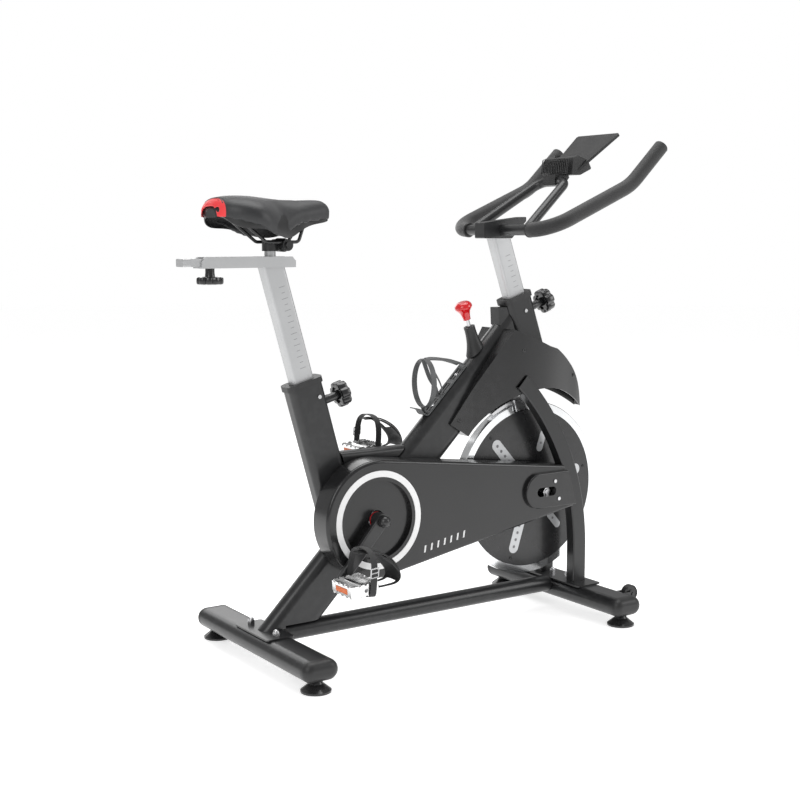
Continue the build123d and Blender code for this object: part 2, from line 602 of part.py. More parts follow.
def toe_clip(hand):
    """Moulded toe cage ahead of the pedal and the strap hoop over it."""
    base = pedal_plane(hand)
    half_l = PEDAL_LENGTH / 2
    with BuildPart() as clip:
        with BuildSketch(pedal_side(hand, 24)):
            with BuildLine():
                FilletPolyline((half_l + 0.3, -9), (92, -9), (103, 22), (52, 66), (8, 70), (8, 67.2),
                               (50.5, 63.5), (99.5, 21), (89.5, -6), (half_l + 3.5, -6),
                               (half_l + 3.5, 8), (half_l + 0.3, 8), radius=1.0, close=True)
            make_face()
        extrude(amount=48)
        with Locations(base * Pos(60, 0, 60)):
            Box(70, 26, 30, mode=Mode.SUBTRACT)
        with BuildSketch(Plane(origin=base.from_local_coords(Vector(STRAP_AT, 0, STRAP_MID)),
                               x_dir=(0, 1, 0), z_dir=base.x_dir)):
            for shrink, how in ((0, Mode.ADD), (STRAP_T, Mode.SUBTRACT)):
                with BuildSketch(mode=Mode.PRIVATE) as loop:
                    RectangleRounded(STRAP_WIDE - 2 * shrink, STRAP_TALL - 2 * shrink, 22 - shrink)
                    with Locations((0, shrink)):
                        Rectangle(STRAP_WIDE - 2 * shrink, STRAP_TALL / 2,
                                  align=(Align.CENTER, Align.MAX))
                add(loop.sketch, mode=how)
        extrude(amount=STRAP_BAND)
    return clip


for hand_name, hand in (("right", -1), ("left", 1)):
    export(pedal_cage(hand), f"pedal_cage_{hand_name}")
    export(toe_clip(hand), f"toe_clip_{hand_name}")

# ---------------------------------------------------------------- belt cover
COVER_CENTRE = (CRANK_S, CRANK_Z + 1)


def cover_profile(inset):
    """Outline of the belt cover: round behind the crank, tapering towards the fork."""
    radius = COVER_R - inset
    top = (COVER_TOP[0], COVER_TOP[1] - inset)
    bottom = (COVER_BOTTOM[0], COVER_BOTTOM[1] + inset)
    upper = tangent_point(COVER_CENTRE, radius, top, 1)
    lower = tangent_point(COVER_CENTRE, radius, bottom, -1)
    with BuildSketch() as outline:
        with BuildLine():
            Polyline(lower, bottom, top, upper)
            ThreePointArc(upper, (COVER_CENTRE[0] - radius, COVER_CENTRE[1]), lower)
        make_face()
        with Locations(LEG_CENTRE):
            Circle(LEG_R - LEG_DEPTH / 2 - 0.8, mode=Mode.INTERSECT)
    return outline.sketch


with BuildPart() as belt_cover_outer:
    with BuildSketch(side(COVER_BACK - 2.6)):
        add(cover_profile(0))
    extrude(amount=COVER_BACK - 2.6 - COVER_FACE)
    front_rim = belt_cover_outer.faces().sort_by(Axis.Y)[0].edges().filter_by(
        lambda edge: edge.center().X < COVER_BOTTOM[0] - MID - 70)
    fillet(front_rim, radius=7)
    with BuildSketch(side(COVER_BACK)):
        add(cover_profile(COVER_T))
    extrude(amount=COVER_BACK - COVER_FACE - COVER_T, mode=Mode.SUBTRACT)
    with Locations(spot(FLY_S + 60, (COVER_BACK + COVER_FACE) / 2, FLY_Z + 6)):
        Box(90, COVER_BACK - COVER_FACE - 2 * COVER_T, 84, mode=Mode.SUBTRACT)
    with BuildSketch(side(RECESS_Y + COVER_T, CRANK_S, CRANK_Z)):
        Circle(RECESS_R + COVER_T)
    extrude(amount=RECESS_Y - COVER_FACE)
    with BuildSketch(side(RECESS_Y, CRANK_S, CRANK_Z)):
        Circle(RECESS_R)
    extrude(amount=20, mode=Mode.SUBTRACT)
    with BuildSketch(side(RECESS_Y + 10, CRANK_S, CRANK_Z)):
        Circle(20)
    extrude(amount=20, mode=Mode.SUBTRACT)
    with BuildSketch(side(COVER_FACE + 1)):
        with Locations((HATCH_S, HATCH_Z)):
            Circle(HATCH_R)
        with Locations((HATCH_S + 60, HATCH_Z)):
            Rectangle(120, 2 * HATCH_R)
        with Locations(LEG_CENTRE):
            Circle(LEG_R - LEG_DEPTH / 2 - 0.8, mode=Mode.INTERSECT)
    extrude(amount=HATCH_RISE + 1)
    hatch_rim = belt_cover_outer.faces().sort_by(Axis.Y)[0].edges().filter_by(
        lambda edge: edge.center().X < COVER_BOTTOM[0] - MID - 60)
    fillet(hatch_rim, radius=3)
    with BuildSketch(side(COVER_FACE + 10)):
        with Locations((HATCH_S + 18, FLY_Z + 4)):
            SlotOverall(56, 21)
    extrude(amount=30, mode=Mode.SUBTRACT)
export(belt_cover_outer, "belt_cover_outer")

with BuildPart() as belt_cover_inner:
    with BuildSketch(side(COVER_BACK)):
        add(cover_profile(0.2))
        with Locations((CRANK_S, CRANK_Z)):
            Circle(23, mode=Mode.SUBTRACT)
        with Locations((FLY_S, FLY_Z)):
            Circle(31, mode=Mode.SUBTRACT)
        with Locations((FLY_S + 60, FLY_Z)):
            Rectangle(120, 60, mode=Mode.SUBTRACT)
    extrude(amount=2.4)
export(belt_cover_inner, "belt_cover_inner")

with BuildPart() as cover_trim_ring:
    with BuildSketch(side(COVER_FACE, CRANK_S, CRANK_Z)):
        Circle(RING_OUT)
        Circle(RING_IN, mode=Mode.SUBTRACT)
    extrude(amount=RING_T)
export(cover_trim_ring, "cover_trim_ring")

# ---------------------------------------------------------------- head shroud
ARCH_R = 240.0
SHROUD_T = 2.5


def shroud_profile(inset):
    """Side outline of the shroud: a wing along the beam, an arch over the wheel and a fin."""
    with BuildSketch() as outline:
        with BuildLine():
            Polyline((462 + 1.5 * inset, 470 + inset), (508, 440), (780, 440), (858 - inset, 478))
            Spline((858 - inset, 478), (852 - inset, 520), (829 - inset, 567 - inset),
                   (790 - inset, 604 - inset), (752 - inset, 628 - inset))
            Polyline((752 - inset, 628 - inset), (722 - inset, 636 - inset), (640, 668 - inset),
                     (616 + inset, 678 - inset), (462 + 1.5 * inset, 470 + inset))
        make_face()
        with Locations((FLY_S, FLY_Z)):
            Circle(ARCH_R, mode=Mode.SUBTRACT)
    return outline.sketch


def shroud_plan(inset):
    """Half of the shroud seen from above: narrow at the wing, full at the fork, thin at the fin."""
    with BuildSketch() as outline:
        with BuildLine():
            Polyline((440, 0.4), (440, 25 - inset), (520, 34 - inset), (590, 54 - inset))
            Spline((590, 54 - inset), (640, 65 - inset), (700, 64 - inset), (760, 48 - inset),
                   (815, 28 - inset), (862, 9 - inset), tangents=((50, 14), (30, -16)))
            Polyline((862, 9 - inset), (870, 9 - inset), (870, 0.4), (440, 0.4))
        make_face()
    return outline.sketch


def shroud_half(hand):
    """One moulded half of the shroud, open below, cleared round the beam, head tube and leg."""
    with BuildPart() as half:
        for inset, how in ((0.0, Mode.ADD), (SHROUD_T, Mode.SUBTRACT)):
            with BuildPart(mode=Mode.PRIVATE) as block:
                with BuildSketch(side(0)):
                    add(shroud_profile(inset))
                extrude(amount=80, both=True)
                with BuildSketch(level(400)):
                    add(shroud_plan(inset) if hand > 0 else mirror(shroud_plan(inset), about=Plane.XZ))
                extrude(amount=400, mode=Mode.INTERSECT)
                if inset:
                    with BuildSketch(side(0)):
                        with Locations((FLY_S, FLY_Z)):
                            Circle(ARCH_R + 1)
                            Circle(ARCH_R - 40, mode=Mode.SUBTRACT)
                    extrude(amount=80, both=True)
                    with BuildSketch(level(400)):
                        add(shroud_plan(inset) if hand > 0
                            else mirror(shroud_plan(inset), about=Plane.XZ))
                    extrude(amount=400, mode=Mode.INTERSECT)
            add(block.part, mode=how)
        with BuildSketch(across(HEAD_S, HEAD_Z, HEAD_TILT, up=-HEAD_LENGTH - 30)):
            RectangleRounded(HEAD_DEPTH + 1, TUBE_WIDTH + 1, TUBE_CORNER)
        extrude(amount=HEAD_LENGTH + 30, mode=Mode.SUBTRACT)
        with BuildSketch(across(0, BEAM_RISE, -45.0)):
            SlotOverall(BEAM_DEPTH + 1, TUBE_WIDTH + 1)
        extrude(amount=940, mode=Mode.SUBTRACT)
        with BuildSketch(side(hand * (LEG_INNER - 0.6))):
            add(leg_profile(-0.6))
        extrude(amount=-hand * (LEG_OUTER - LEG_INNER + 1.2), mode=Mode.SUBTRACT)
        with BuildSketch(side(0)):
            add(crown_profile(0.5))
        extrude(amount=LEG_INNER + 1, both=True, mode=Mode.SUBTRACT)
    return half


for hand_name, hand in (("right", -1), ("left", 1)):
    export(shroud_half(hand), f"shroud_{hand_name}")

# ---------------------------------------------------------------- fasteners
with BuildPart() as fasteners:
    for s, y in ((REAR, -55), (REAR, 55), (FRONT, -28), (FRONT, 28)):
        with BuildSketch(level(BEAM_BASE + 0.1)):
            with Locations((s, y)):
                RegularPolygon(8, 6)
        extrude(amount=8)
        with Locations(spot(s, y, BEAM_BASE + 8)):
            Sphere(6.4)
    for y, thick in ((-68, 9), (-57, 9), (66, 9)):
        with BuildSketch(side(y, FLY_S, FLY_Z)):
            RegularPolygon(11, 6)
            Circle(AXLE_R + 0.02, mode=Mode.SUBTRACT)
        extrude(amount=thick)
    for hand in (-1, 1):
        with BuildSketch(Plane(origin=spot(FLY_S - 47, hand * 53, FLY_Z), z_dir=(1, 0, 0))):
            Circle(3)
        extrude(amount=6.8)
        with BuildSketch(Plane(origin=spot(FLY_S - 52, hand * 53, FLY_Z), z_dir=(1, 0, 0))):
            RegularPolygon(5.5, 6)
        extrude(amount=5)
export(fasteners, "fasteners")


def button_screw(plane):
    """Low domed screw head standing on a surface."""
    with Locations(plane):
        Cylinder(4.2, 2.2, align=(Align.CENTER, Align.CENTER, Align.MIN))


with BuildPart() as small_screws:
    for hand in (-1, 1):
        for s, z in ((SEAT_S + 28, SEAT_Z - 22), (HEAD_S + 15, HEAD_Z - 24)):
            button_screw(Plane(origin=spot(s, hand * (TUBE_WIDTH / 2 + 0.05), z), x_dir=(1, 0, 0),
                               z_dir=(0, hand, 0)))
    for s, z in ((HATCH_S + 42, HATCH_Z + 20), (HATCH_S + 54, HATCH_Z - 22)):
        button_screw(side(COVER_FACE - HATCH_RISE - 0.05, s, z))
export(small_screws, "small_screws")

# ---------------------------------------------------------------- brake
with BuildPart() as brake_housing:
    with BuildSketch(Plane(origin=spot(ROD_S, 0, ROD_Z), x_dir=(-ROD_DIR[2], 0, ROD_DIR[0]),
                           z_dir=(0, -1, 0))):
        with BuildLine():
            Polyline((ROD_R + 1, -45), (13, -45))
            ThreePointArc((13, -45), (16, -82), (36, -130))
            Polyline((36, -130), (ROD_R + 1, -130), (ROD_R + 1, -45))
        make_face()
    revolve(axis=Axis(spot(ROD_S, 0, ROD_Z), ROD_DIR))
    split(bisect_by=beam_top.offset(0.1), keep=Keep.TOP)
    fillet(brake_housing.edges().filter_by(GeomType.CIRCLE).sort_by(Axis.Z)[-1], radius=2)
export(brake_housing, "brake_housing")

ROD_END = 251.0
with BuildPart() as brake_rod:
    with BuildSketch(rod_plane(10)):
        Circle(ROD_R)
    extrude(amount=ROD_END - 10)
    with BuildSketch(side(17)):
        with Locations((FLY_S, FLY_Z)):
            Circle(FLY_R + SHOE_GAP + 4 + SHOE_T)
            Circle(FLY_R + SHOE_GAP + 4, mode=Mode.SUBTRACT)
        with BuildLine():
            Polyline((FLY_S, FLY_Z), (FLY_S - 30, FLY_Z + 300), (FLY_S - 190, FLY_Z + 300), close=True)
        make_face(mode=Mode.INTERSECT)
    extrude(amount=34)
    with BuildSketch(side(12)):
        with Locations((FLY_S, FLY_Z)):
            Circle(FLY_R + SHOE_GAP + 4.2)
            Circle(FLY_R + SHOE_GAP, mode=Mode.SUBTRACT)
        with BuildLine():
            Polyline((FLY_S, FLY_Z), (FLY_S - 40, FLY_Z + 300), (FLY_S - 170, FLY_Z + 300), close=True)
        make_face(mode=Mode.INTERSECT)
    extrude(amount=24)
    for y in (20, -17):
        with BuildSketch(side(y)):
            with Locations((FLY_S, FLY_Z)):
                Circle(FLY_R + SHOE_GAP + 4 + SHOE_T)
                Circle(FLY_R - 14, mode=Mode.SUBTRACT)
            with BuildLine():
                Polyline((FLY_S, FLY_Z), (FLY_S - 30, FLY_Z + 300), (FLY_S - 75, FLY_Z + 300), close=True)
            make_face(mode=Mode.INTERSECT)
        extrude(amount=3)
export(brake_rod, "brake_rod")

with BuildPart() as brake_knob:
    with BuildSketch(Plane(origin=spot(ROD_S, 0, ROD_Z), x_dir=(-ROD_DIR[2], 0, ROD_DIR[0]),
                           z_dir=(0, -1, 0))):
        with BuildLine():
            Polyline((0, 14), (8, 14))
            ThreePointArc((8, 14), (18.5, 8), (20, 1))
            Spline((20, 1), (13, -9), (9.5, -20), (8.5, -28), tangents=((-4, -8), (0, -1)))
            Polyline((8.5, -28), (ROD_R + RUN, -28), (ROD_R + RUN, -9.9), (0, -9.9), (0, 14))
        make_face()
    revolve(axis=Axis(spot(ROD_S, 0, ROD_Z), ROD_DIR))
export(brake_knob, "brake_knob")

# ---------------------------------------------------------------- bottle cage
CAGE_S, CAGE_Z, BOTTLE_R, BAND_T, BAND_W = 409.0, 564.0, 37.0, 2.5, 15.0
with BuildPart() as bottle_cage:
    with BuildSketch(side(0)):
        with BuildLine():
            low = along_beam(438, BEAM_DEPTH / 2 + 0.2)
            lip = along_beam(432, BEAM_DEPTH / 2 + 36)
            high = along_beam(548, BEAM_DEPTH / 2 + 0.2)
            Polyline(low, high, along_beam(550, BEAM_DEPTH / 2 + 12), along_beam(547, BEAM_DEPTH / 2 + 12),
                     along_beam(545, BEAM_DEPTH / 2 + 4.2), along_beam(441, BEAM_DEPTH / 2 + 4.2),
                     along_beam(435, BEAM_DEPTH / 2 + 36), lip, along_beam(437, BEAM_DEPTH / 2 + 4),
                     close=True)
        make_face()
    extrude(amount=14, both=True)
    with BuildSketch(Plane(origin=spot(CAGE_S - BAND_W / 2, 0, CAGE_Z), x_dir=(0, 1, 0),
                           z_dir=(1, 0, 0))):
        Ellipse(BOTTLE_R + BAND_T, BOTTLE_R * 2 ** 0.5 + BAND_T)
        Ellipse(BOTTLE_R, BOTTLE_R * 2 ** 0.5, mode=Mode.SUBTRACT)
    extrude(amount=BAND_W)
    for hand in (-1, 1):
        with BuildSketch(side(hand * 12.5)):
            with BuildLine():
                Polyline((CAGE_S - 4, CAGE_Z + 49), (CAGE_S + 6, CAGE_Z + 51), (511, 608), (511, 598),
                         (505, 598), (503, 602), (CAGE_S + 6, CAGE_Z + 45), (CAGE_S - 4, CAGE_Z + 43),
                         close=True)
            make_face()
        extrude(amount=-hand * 3.5)
    with BuildSketch(side(12)):
        with BuildLine():
            Polyline((CAGE_S - 7, 486), (CAGE_S + 7, 500), (CAGE_S + 7, CAGE_Z - 51),
                     (CAGE_S - 7, CAGE_Z - 51), close=True)
        make_face()
    extrude(amount=24)
    with BuildSketch(across(0, BEAM_RISE, -45.0)):
        SlotOverall(BEAM_DEPTH + 0.2, TUBE_WIDTH + 0.2)
    extrude(amount=960, mode=Mode.SUBTRACT)
export(bottle_cage, "bottle_cage")

# ---------------------------------------------------------------- posts
with BuildPart() as seat_post:
    with BuildSketch(across(SEAT_S, SEAT_Z, SEAT_TILT, up=-SEAT_POST_DOWN)):
        RectangleRounded(POST_DEPTH, POST_WIDTH, POST_CORNER)
        RectangleRounded(POST_DEPTH - 2 * POST_WALL, POST_WIDTH - 2 * POST_WALL, POST_CORNER - 2,
                         mode=Mode.SUBTRACT)
    extrude(amount=SEAT_POST_DOWN + SEAT_POST_UP + 30)
    split(bisect_by=level(SLIDE_BOTTOM), keep=Keep.BOTTOM)
    with Locations(*[ahead(SEAT_S, SEAT_Z, SEAT_TILT, up=u, out=POST_DEPTH / 2)
                     for u in range(-40, 200, 30)]):
        Cylinder(5.5, 12, mode=Mode.SUBTRACT)
    with BuildSketch(side(0)):
        with BuildLine():
            Polyline((SLIDE_REAR, SLIDE_BOTTOM), (SLIDE_FRONT, SLIDE_BOTTOM),
                     (SLIDE_FRONT, SLIDE_TOP - 9), (SLIDE_FRONT - 8, SLIDE_TOP),
                     (SLIDE_REAR + 8, SLIDE_TOP), (SLIDE_REAR, SLIDE_TOP - 9), close=True)
        make_face()
    extrude(amount=SLIDE_HALF, both=True)
    with Locations(spot((SLIDE_REAR + SLIDE_FRONT) / 2, 0, SLIDE_BOTTOM + SLIDE_WALL)):
        Box(300, 2 * (SLIDE_HALF - SLIDE_WALL), 16.5, align=(Align.CENTER, Align.CENTER, Align.MIN),
            mode=Mode.SUBTRACT)
        Box(300, 26, 40, align=(Align.CENTER, Align.CENTER, Align.MIN), mode=Mode.SUBTRACT)
    with Locations(spot(SLIDER_KNOB_S, 0, SLIDE_BOTTOM)):
        Cylinder(5 + RUN, 20, mode=Mode.SUBTRACT)
export(seat_post, "seat_post")

SLIDER_REAR, SLIDER_FRONT = -157.0, 62.0
with BuildPart() as slider_bar:
    with Locations(spot((SLIDER_REAR + SLIDER_FRONT) / 2, 0, SLIDE_BOTTOM + SLIDE_WALL + 0.4)):
        Box(SLIDER_FRONT - SLIDER_REAR, 33.2, 15.6, align=(Align.CENTER, Align.CENTER, Align.MIN))
    with BuildSketch(Plane(origin=spot(SLIDER_REAR - 1, 0, SLIDE_BOTTOM + SLIDE_WALL + 8.2),
                           x_dir=(0, 1, 0), z_dir=(1, 0, 0))):
        Rectangle(28, 10.8)
    extrude(amount=SLIDER_FRONT - SLIDER_REAR + 2, mode=Mode.SUBTRACT)
    with BuildSketch(level(SLIDE_TOP - 3.2)):
        with Locations((STEM_S, 0)):
            Circle(STEM_R)
            Circle(STEM_R - 2, mode=Mode.SUBTRACT)
    extrude(amount=STEM_TOP - SLIDE_TOP + 3.2)
    for end, way in ((SLIDER_REAR - 0.1, -1), (SLIDER_FRONT + 0.1, 1)):
        with BuildSketch(Plane(origin=spot(end, 0, SLIDE_BOTTOM + SLIDE_WALL + 8.2),
                               x_dir=(0, 1, 0), z_dir=(way, 0, 0))):
            RectangleRounded(33.2, 15.6, 3)
        extrude(amount=17 if way < 0 else 4)
        with BuildSketch(Plane(origin=spot(end, 0, SLIDE_BOTTOM + SLIDE_WALL + 8.2),
                               x_dir=(0, 1, 0), z_dir=(-way, 0, 0))):
            Rectangle(27.6, 10.4)
        extrude(amount=10)
    with Locations(spot(-32, 0, SLIDE_TOP - 3.1)):
        Cylinder(9, 3.5, align=(Align.CENTER, Align.CENTER, Align.MIN))
export(slider_bar, "slider_bar")

with BuildPart() as handlebar_post:
    with BuildSketch(across(HEAD_S, HEAD_Z, HEAD_TILT, up=-BAR_POST_DOWN)):
        RectangleRounded(POST_DEPTH, POST_WIDTH, POST_CORNER)
        RectangleRounded(POST_DEPTH - 2 * POST_WALL, POST_WIDTH - 2 * POST_WALL, POST_CORNER - 2,
                         mode=Mode.SUBTRACT)
    extrude(amount=BAR_POST_DOWN + BAR_POST_UP + 30)
    split(bisect_by=level(881.5), keep=Keep.BOTTOM)
    with Locations(*[ahead(HEAD_S, HEAD_Z, HEAD_TILT, up=u, out=POST_DEPTH / 2)
                     for u in range(-56, 110, 24)]):
        Cylinder(5.5, 12, mode=Mode.SUBTRACT)
export(handlebar_post, "handlebar_post")


# ---------------------------------------------------------------- knobs
def lobed_wheel(radius, lobes):
    """Grooved hand wheel, started on the current sketch plane."""
    Circle(radius)
    with PolarLocations(radius + 1.5, lobes):
        Circle(4.5, mode=Mode.SUBTRACT)


def pull_knob(anchor, tilt, depth):
    """Knob, collar and pin on an axis ahead of a post's tube."""
    station, height = anchor.X + MID, anchor.Z
    face = depth / 2
    with BuildPart() as knob:
        with BuildSketch(ahead(station, height, tilt, out=POST_DEPTH / 2 + 0.5)):
            Circle(5)
        extrude(amount=face - POST_DEPTH / 2 + KNOB_STEM)
        with BuildSketch(ahead(station, height, tilt, out=face + BOSS_LENGTH + 0.4)):
            Circle(9)
        extrude(amount=KNOB_STEM - BOSS_LENGTH)
        with BuildSketch(ahead(station, height, tilt, out=face + KNOB_STEM)):
            lobed_wheel(KNOB_R, 7)
        extrude(amount=KNOB_T)
        chamfer(knob.faces().sort_by(Axis(spot(station, 0, height), (1, 0, 0.3)))[-1].edges(), length=2)
    return knob


export(pull_knob(knob_seat, SEAT_TILT, SEAT_DEPTH), "seat_height_knob")
export(pull_knob(knob_head, HEAD_TILT, HEAD_DEPTH), "handlebar_height_knob")

with BuildPart() as slider_knob:
    with BuildSketch(level(793)):
        with Locations((SLIDER_KNOB_S, 0)):
            lobed_wheel(27.0, 9)
    extrude(amount=15)
    chamfer(slider_knob.faces().sort_by(Axis.Z)[0].edges(), length=1.5)
    with BuildSketch(level(807)):
        with Locations((SLIDER_KNOB_S, 0)):
            Circle(9.5)
    extrude(amount=SLIDE_BOTTOM - 0.4 - 807)
    with BuildSketch(level(820)):
        with Locations((SLIDER_KNOB_S, 0)):
            Circle(5)
    extrude(amount=SLIDE_BOTTOM + SLIDE_WALL - 820)
export(slider_knob, "slider_knob")

# ---------------------------------------------------------------- saddle
with BuildPart() as saddle_clamp:
    with BuildSketch(level(858)):
        with Locations((STEM_S, 0)):
            Circle(16.5)
            Circle(STEM_R + RUN, mode=Mode.SUBTRACT)
    extrude(amount=STEM_TOP + 1 - 858)
    with BuildSketch(side(12)):
        with Locations((HINGE_S, HINGE_Z)):
            Circle(14)
        with Locations(((HINGE_S + STEM_S) / 2 + 6, HINGE_Z)):
            Rectangle(20, 20)
    extrude(amount=24)
    with BuildSketch(level(850)):
        with Locations((STEM_S, 0)):
            Circle(STEM_R + RUN)
    extrude(amount=STEM_TOP - 850, mode=Mode.SUBTRACT)
    with BuildSketch(side(20, HINGE_S, HINGE_Z)):
        Circle(4 + RUN)
    extrude(amount=40, mode=Mode.SUBTRACT)
export(saddle_clamp, "saddle_clamp")

with BuildPart() as saddle_rails:
    for hand in (-1, 1):
        with BuildLine() as wire:
            FilletPolyline(spot(-52, hand * RAIL_Y, 921), spot(6, hand * RAIL_Y, 876),
                           spot(80, hand * RAIL_Y, 876), spot(104, hand * 9, 921), radius=12)
        with BuildSketch(Plane(origin=wire.line @ 0, z_dir=wire.line % 0)):
            Circle(RAIL_R)
        sweep(path=wire.line)
        with BuildSketch(side(hand * 12.3, HINGE_S, HINGE_Z)):
            Circle(12)
        extrude(amount=-hand * 17)
    with BuildSketch(side(33, HINGE_S, HINGE_Z)):
        Circle(4)
    extrude(amount=66)
    for hand in (-1, 1):
        with BuildSketch(side(hand * 29, HINGE_S, HINGE_Z)):
            RegularPolygon(7.5, 6)
        extrude(amount=-hand * 5)
export(saddle_rails, "saddle_rails")

# station, half width, top and skirt heights of the saddle's sections, from tail to nose
SADDLE = ((-115.0, 30.0, 951.0, 924.0), (-92.0, 66.0, 963.0, 916.0), (-45.0, 92.0, 967.0, 903.0),
          (5.0, 83.0, 963.0, 893.0), (45.0, 55.0, 960.0, 884.0), (80.0, 34.0, 960.0, 895.0),
          (125.0, 24.0, 963.0, 912.0), (156.0, 20.0, 957.0, 919.0), (169.0, 13.0, 944.0, 924.0))


def saddle_loft(inset, drop):
    """Domed body through the saddle's sections, drawn in by inset; drop opens its underside."""
    with BuildPart() as body:
        for index, (s, half, top, skirt) in enumerate(SADDLE):
            ends = inset * ((index == 0) - (index == len(SADDLE) - 1))
            base = skirt + 0.01 * inset
            w = half - inset
            z = top - inset
            with BuildSketch(Plane(origin=spot(s + ends, 0, 0), x_dir=(0, 1, 0), z_dir=(1, 0, 0))):
                with BuildLine():
                    if drop:
                        Polyline((-w, base), (-w, base - drop), (w, base - drop), (w, base))
                    else:
                        Line((-w, base), (w, base))
                    Spline((w, base), (w * 0.93, base + 0.55 * (z - base)), (w * 0.55, z - 0.1 * (z - base)),
                           (0, z), (-w * 0.55, z - 0.1 * (z - base)),
                           (-w * 0.93, base + 0.55 * (z - base)), (-w, base))
                make_face()
        loft()
    return body.part


with BuildPart() as saddle_pad:
    add(saddle_loft(0.0, 0.0))
    add(saddle_loft(9.0, 12.0), mode=Mode.SUBTRACT)
export(saddle_pad, "saddle_pad")

with BuildPart() as rail_sockets:
    with Locations(spot(-52, 0, 919)):
        Box(14, 54, 60, align=(Align.CENTER, Align.CENTER, Align.MIN))
    with Locations(spot(102, 0, 917)):
        Box(12, 28, 60, align=(Align.CENTER, Align.CENTER, Align.MIN))
    add(saddle_loft(12.8, 0.0), mode=Mode.INTERSECT)

with BuildPart() as saddle_shell:
    add(saddle_loft(9.4, 0.0))
    add(saddle_loft(12.4, 12.0), mode=Mode.SUBTRACT)
    add(rail_sockets.part)
export(saddle_shell, "saddle_shell")

# ---------------------------------------------------------------- handlebar
with BuildPart() as handlebar_bracket:
    with BuildSketch(side(0)):
        with BuildLine():
            Polyline((560, 882), (560, 917), (681, 931), (681, 921), (640, 882), close=True)
        make_face()
    extrude(amount=17, both=True)
    fillet(handlebar_bracket.edges().filter_by(Axis.Y), radius=3)
    with BuildSketch(side(0)):
        with BuildLine():
            Polyline((564, 886), (564, 913), (700, 928.5), (700, 905), (660, 886), close=True)
        make_face()
    extrude(amount=13.5, both=True, mode=Mode.SUBTRACT)
    with BuildSketch(side(30, BAR_S, BAR_Z - 6)):
        Circle(BAR_R + 0.1)
    extrude(amount=60, mode=Mode.SUBTRACT)
export(handlebar_bracket, "handlebar_bracket")

BAR_LINE_Z = BAR_Z - 6


def bar_path(hand, start, short=0.0):
    """Grip-side centreline: out along the crossbar, then forward and up to the tip."""
    fall = short / hypot(TIP_S - BEND_S, TIP_Z - BEND_Z)
    tip = spot(TIP_S - fall * (TIP_S - BEND_S), hand * BAR_HALF, TIP_Z - fall * (TIP_Z - BEND_Z))
    return [spot(BAR_S, hand * start, BAR_LINE_Z), spot(BAR_S, hand * BAR_HALF, BAR_LINE_Z),
            spot(BEND_S, hand * BAR_HALF, BEND_Z), tip]


BEND_RADII = [62.0, 130.0]
with BuildPart() as handlebar_tube:
    right, left = bar_path(-1, 0, 5.0), bar_path(1, 0, 5.0)
    with BuildLine() as bar_line:
        FilletPolyline(*(right[:0:-1] + left[1:]), radius=BEND_RADII[::-1] + BEND_RADII)
    with BuildSketch(Plane(origin=bar_line.line @ 0, z_dir=bar_line.line % 0)):
        Circle(BAR_R)
        Circle(BAR_R - 2, mode=Mode.SUBTRACT)
    sweep(path=bar_line.line)
export(handlebar_tube, "handlebar_tube")

with BuildPart() as grips:
    for hand in (-1, 1):
        for radius, short, how in ((GRIP_R, 0.0, Mode.ADD), (BAR_R + 0.1, 4.9, Mode.SUBTRACT)):
            with BuildLine() as grip_line:
                FilletPolyline(*bar_path(hand, GRIP_START, short), radius=BEND_RADII)
            with BuildSketch(Plane(origin=grip_line.line @ 0, z_dir=grip_line.line % 0)):
                Circle(radius)
            sweep(path=grip_line.line, mode=how)
export(grips, "grips")

with BuildPart() as handlebar_loop:
    with BuildLine() as loop_line:
        FilletPolyline(spot(BAR_S + 4, -LOOP_BASE_Y, BAR_LINE_Z + 2),
                       spot(LOOP_FRONT_S, -LOOP_FRONT_Y, LOOP_FRONT_Z),
                       spot(LOOP_FRONT_S, LOOP_FRONT_Y, LOOP_FRONT_Z),
                       spot(BAR_S + 4, LOOP_BASE_Y, BAR_LINE_Z + 2), radius=31)
    with BuildSketch(Plane(origin=loop_line.line @ 0, z_dir=loop_line.line % 0)):
        Circle(LOOP_R)
    sweep(path=loop_line.line)
    with BuildSketch(side(GRIP_START, BAR_S, BAR_LINE_Z)):
        Circle(BAR_R + 0.1)
    extrude(amount=2 * GRIP_START, mode=Mode.SUBTRACT)
export(handlebar_loop, "handlebar_loop")

with BuildPart() as tablet_holder:
    with BuildSketch(side(0)):
        with BuildLine():
            Polyline((786, 1027), (791, 1067), (806, 1071), (836, 1060), (846, 1042), (812, 1027), close=True)
        make_face()
    extrude(amount=51, both=True)
    fillet(tablet_holder.edges().filter_by(Axis.Y), radius=3)
    rest_lean = atan2(1123 - 1030, 909 - 792)
    rest = Plane(origin=spot(800, 0, 1037), x_dir=(cos(rest_lean), 0, sin(rest_lean)),
                 z_dir=(-sin(rest_lean), 0, cos(rest_lean)))
    with BuildSketch(rest.offset(-6)):
        with BuildLine():
            Polyline((-4, -50), (138, -73), (142, -69), (142, 69), (138, 73), (-4, 50), close=True)
        make_face()
    extrude(amount=6)
    with BuildSketch(side(0)):
        with BuildLine():
            Polyline((762, 1026), (800, 1034), (806, 1022), (790, 1004), (762, 1004), close=True)
        make_face()
    extrude(amount=20, both=True)
    with BuildSketch(side(60, LOOP_FRONT_S, LOOP_FRONT_Z)):
        Circle(LOOP_R + 0.15)
    extrude(amount=120, mode=Mode.SUBTRACT)
    with Locations(spot(806, 24, 1071)):
        Cylinder(7, 6)
export(tablet_holder, "tablet_holder")
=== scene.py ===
"""Looks of the indoor spin bike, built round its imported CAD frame."""

import json
import logging
import math
from dataclasses import dataclass
from enum import Enum
from functools import lru_cache

import bmesh
import bpy
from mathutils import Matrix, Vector
from mathutils.bvhtree import BVHTree


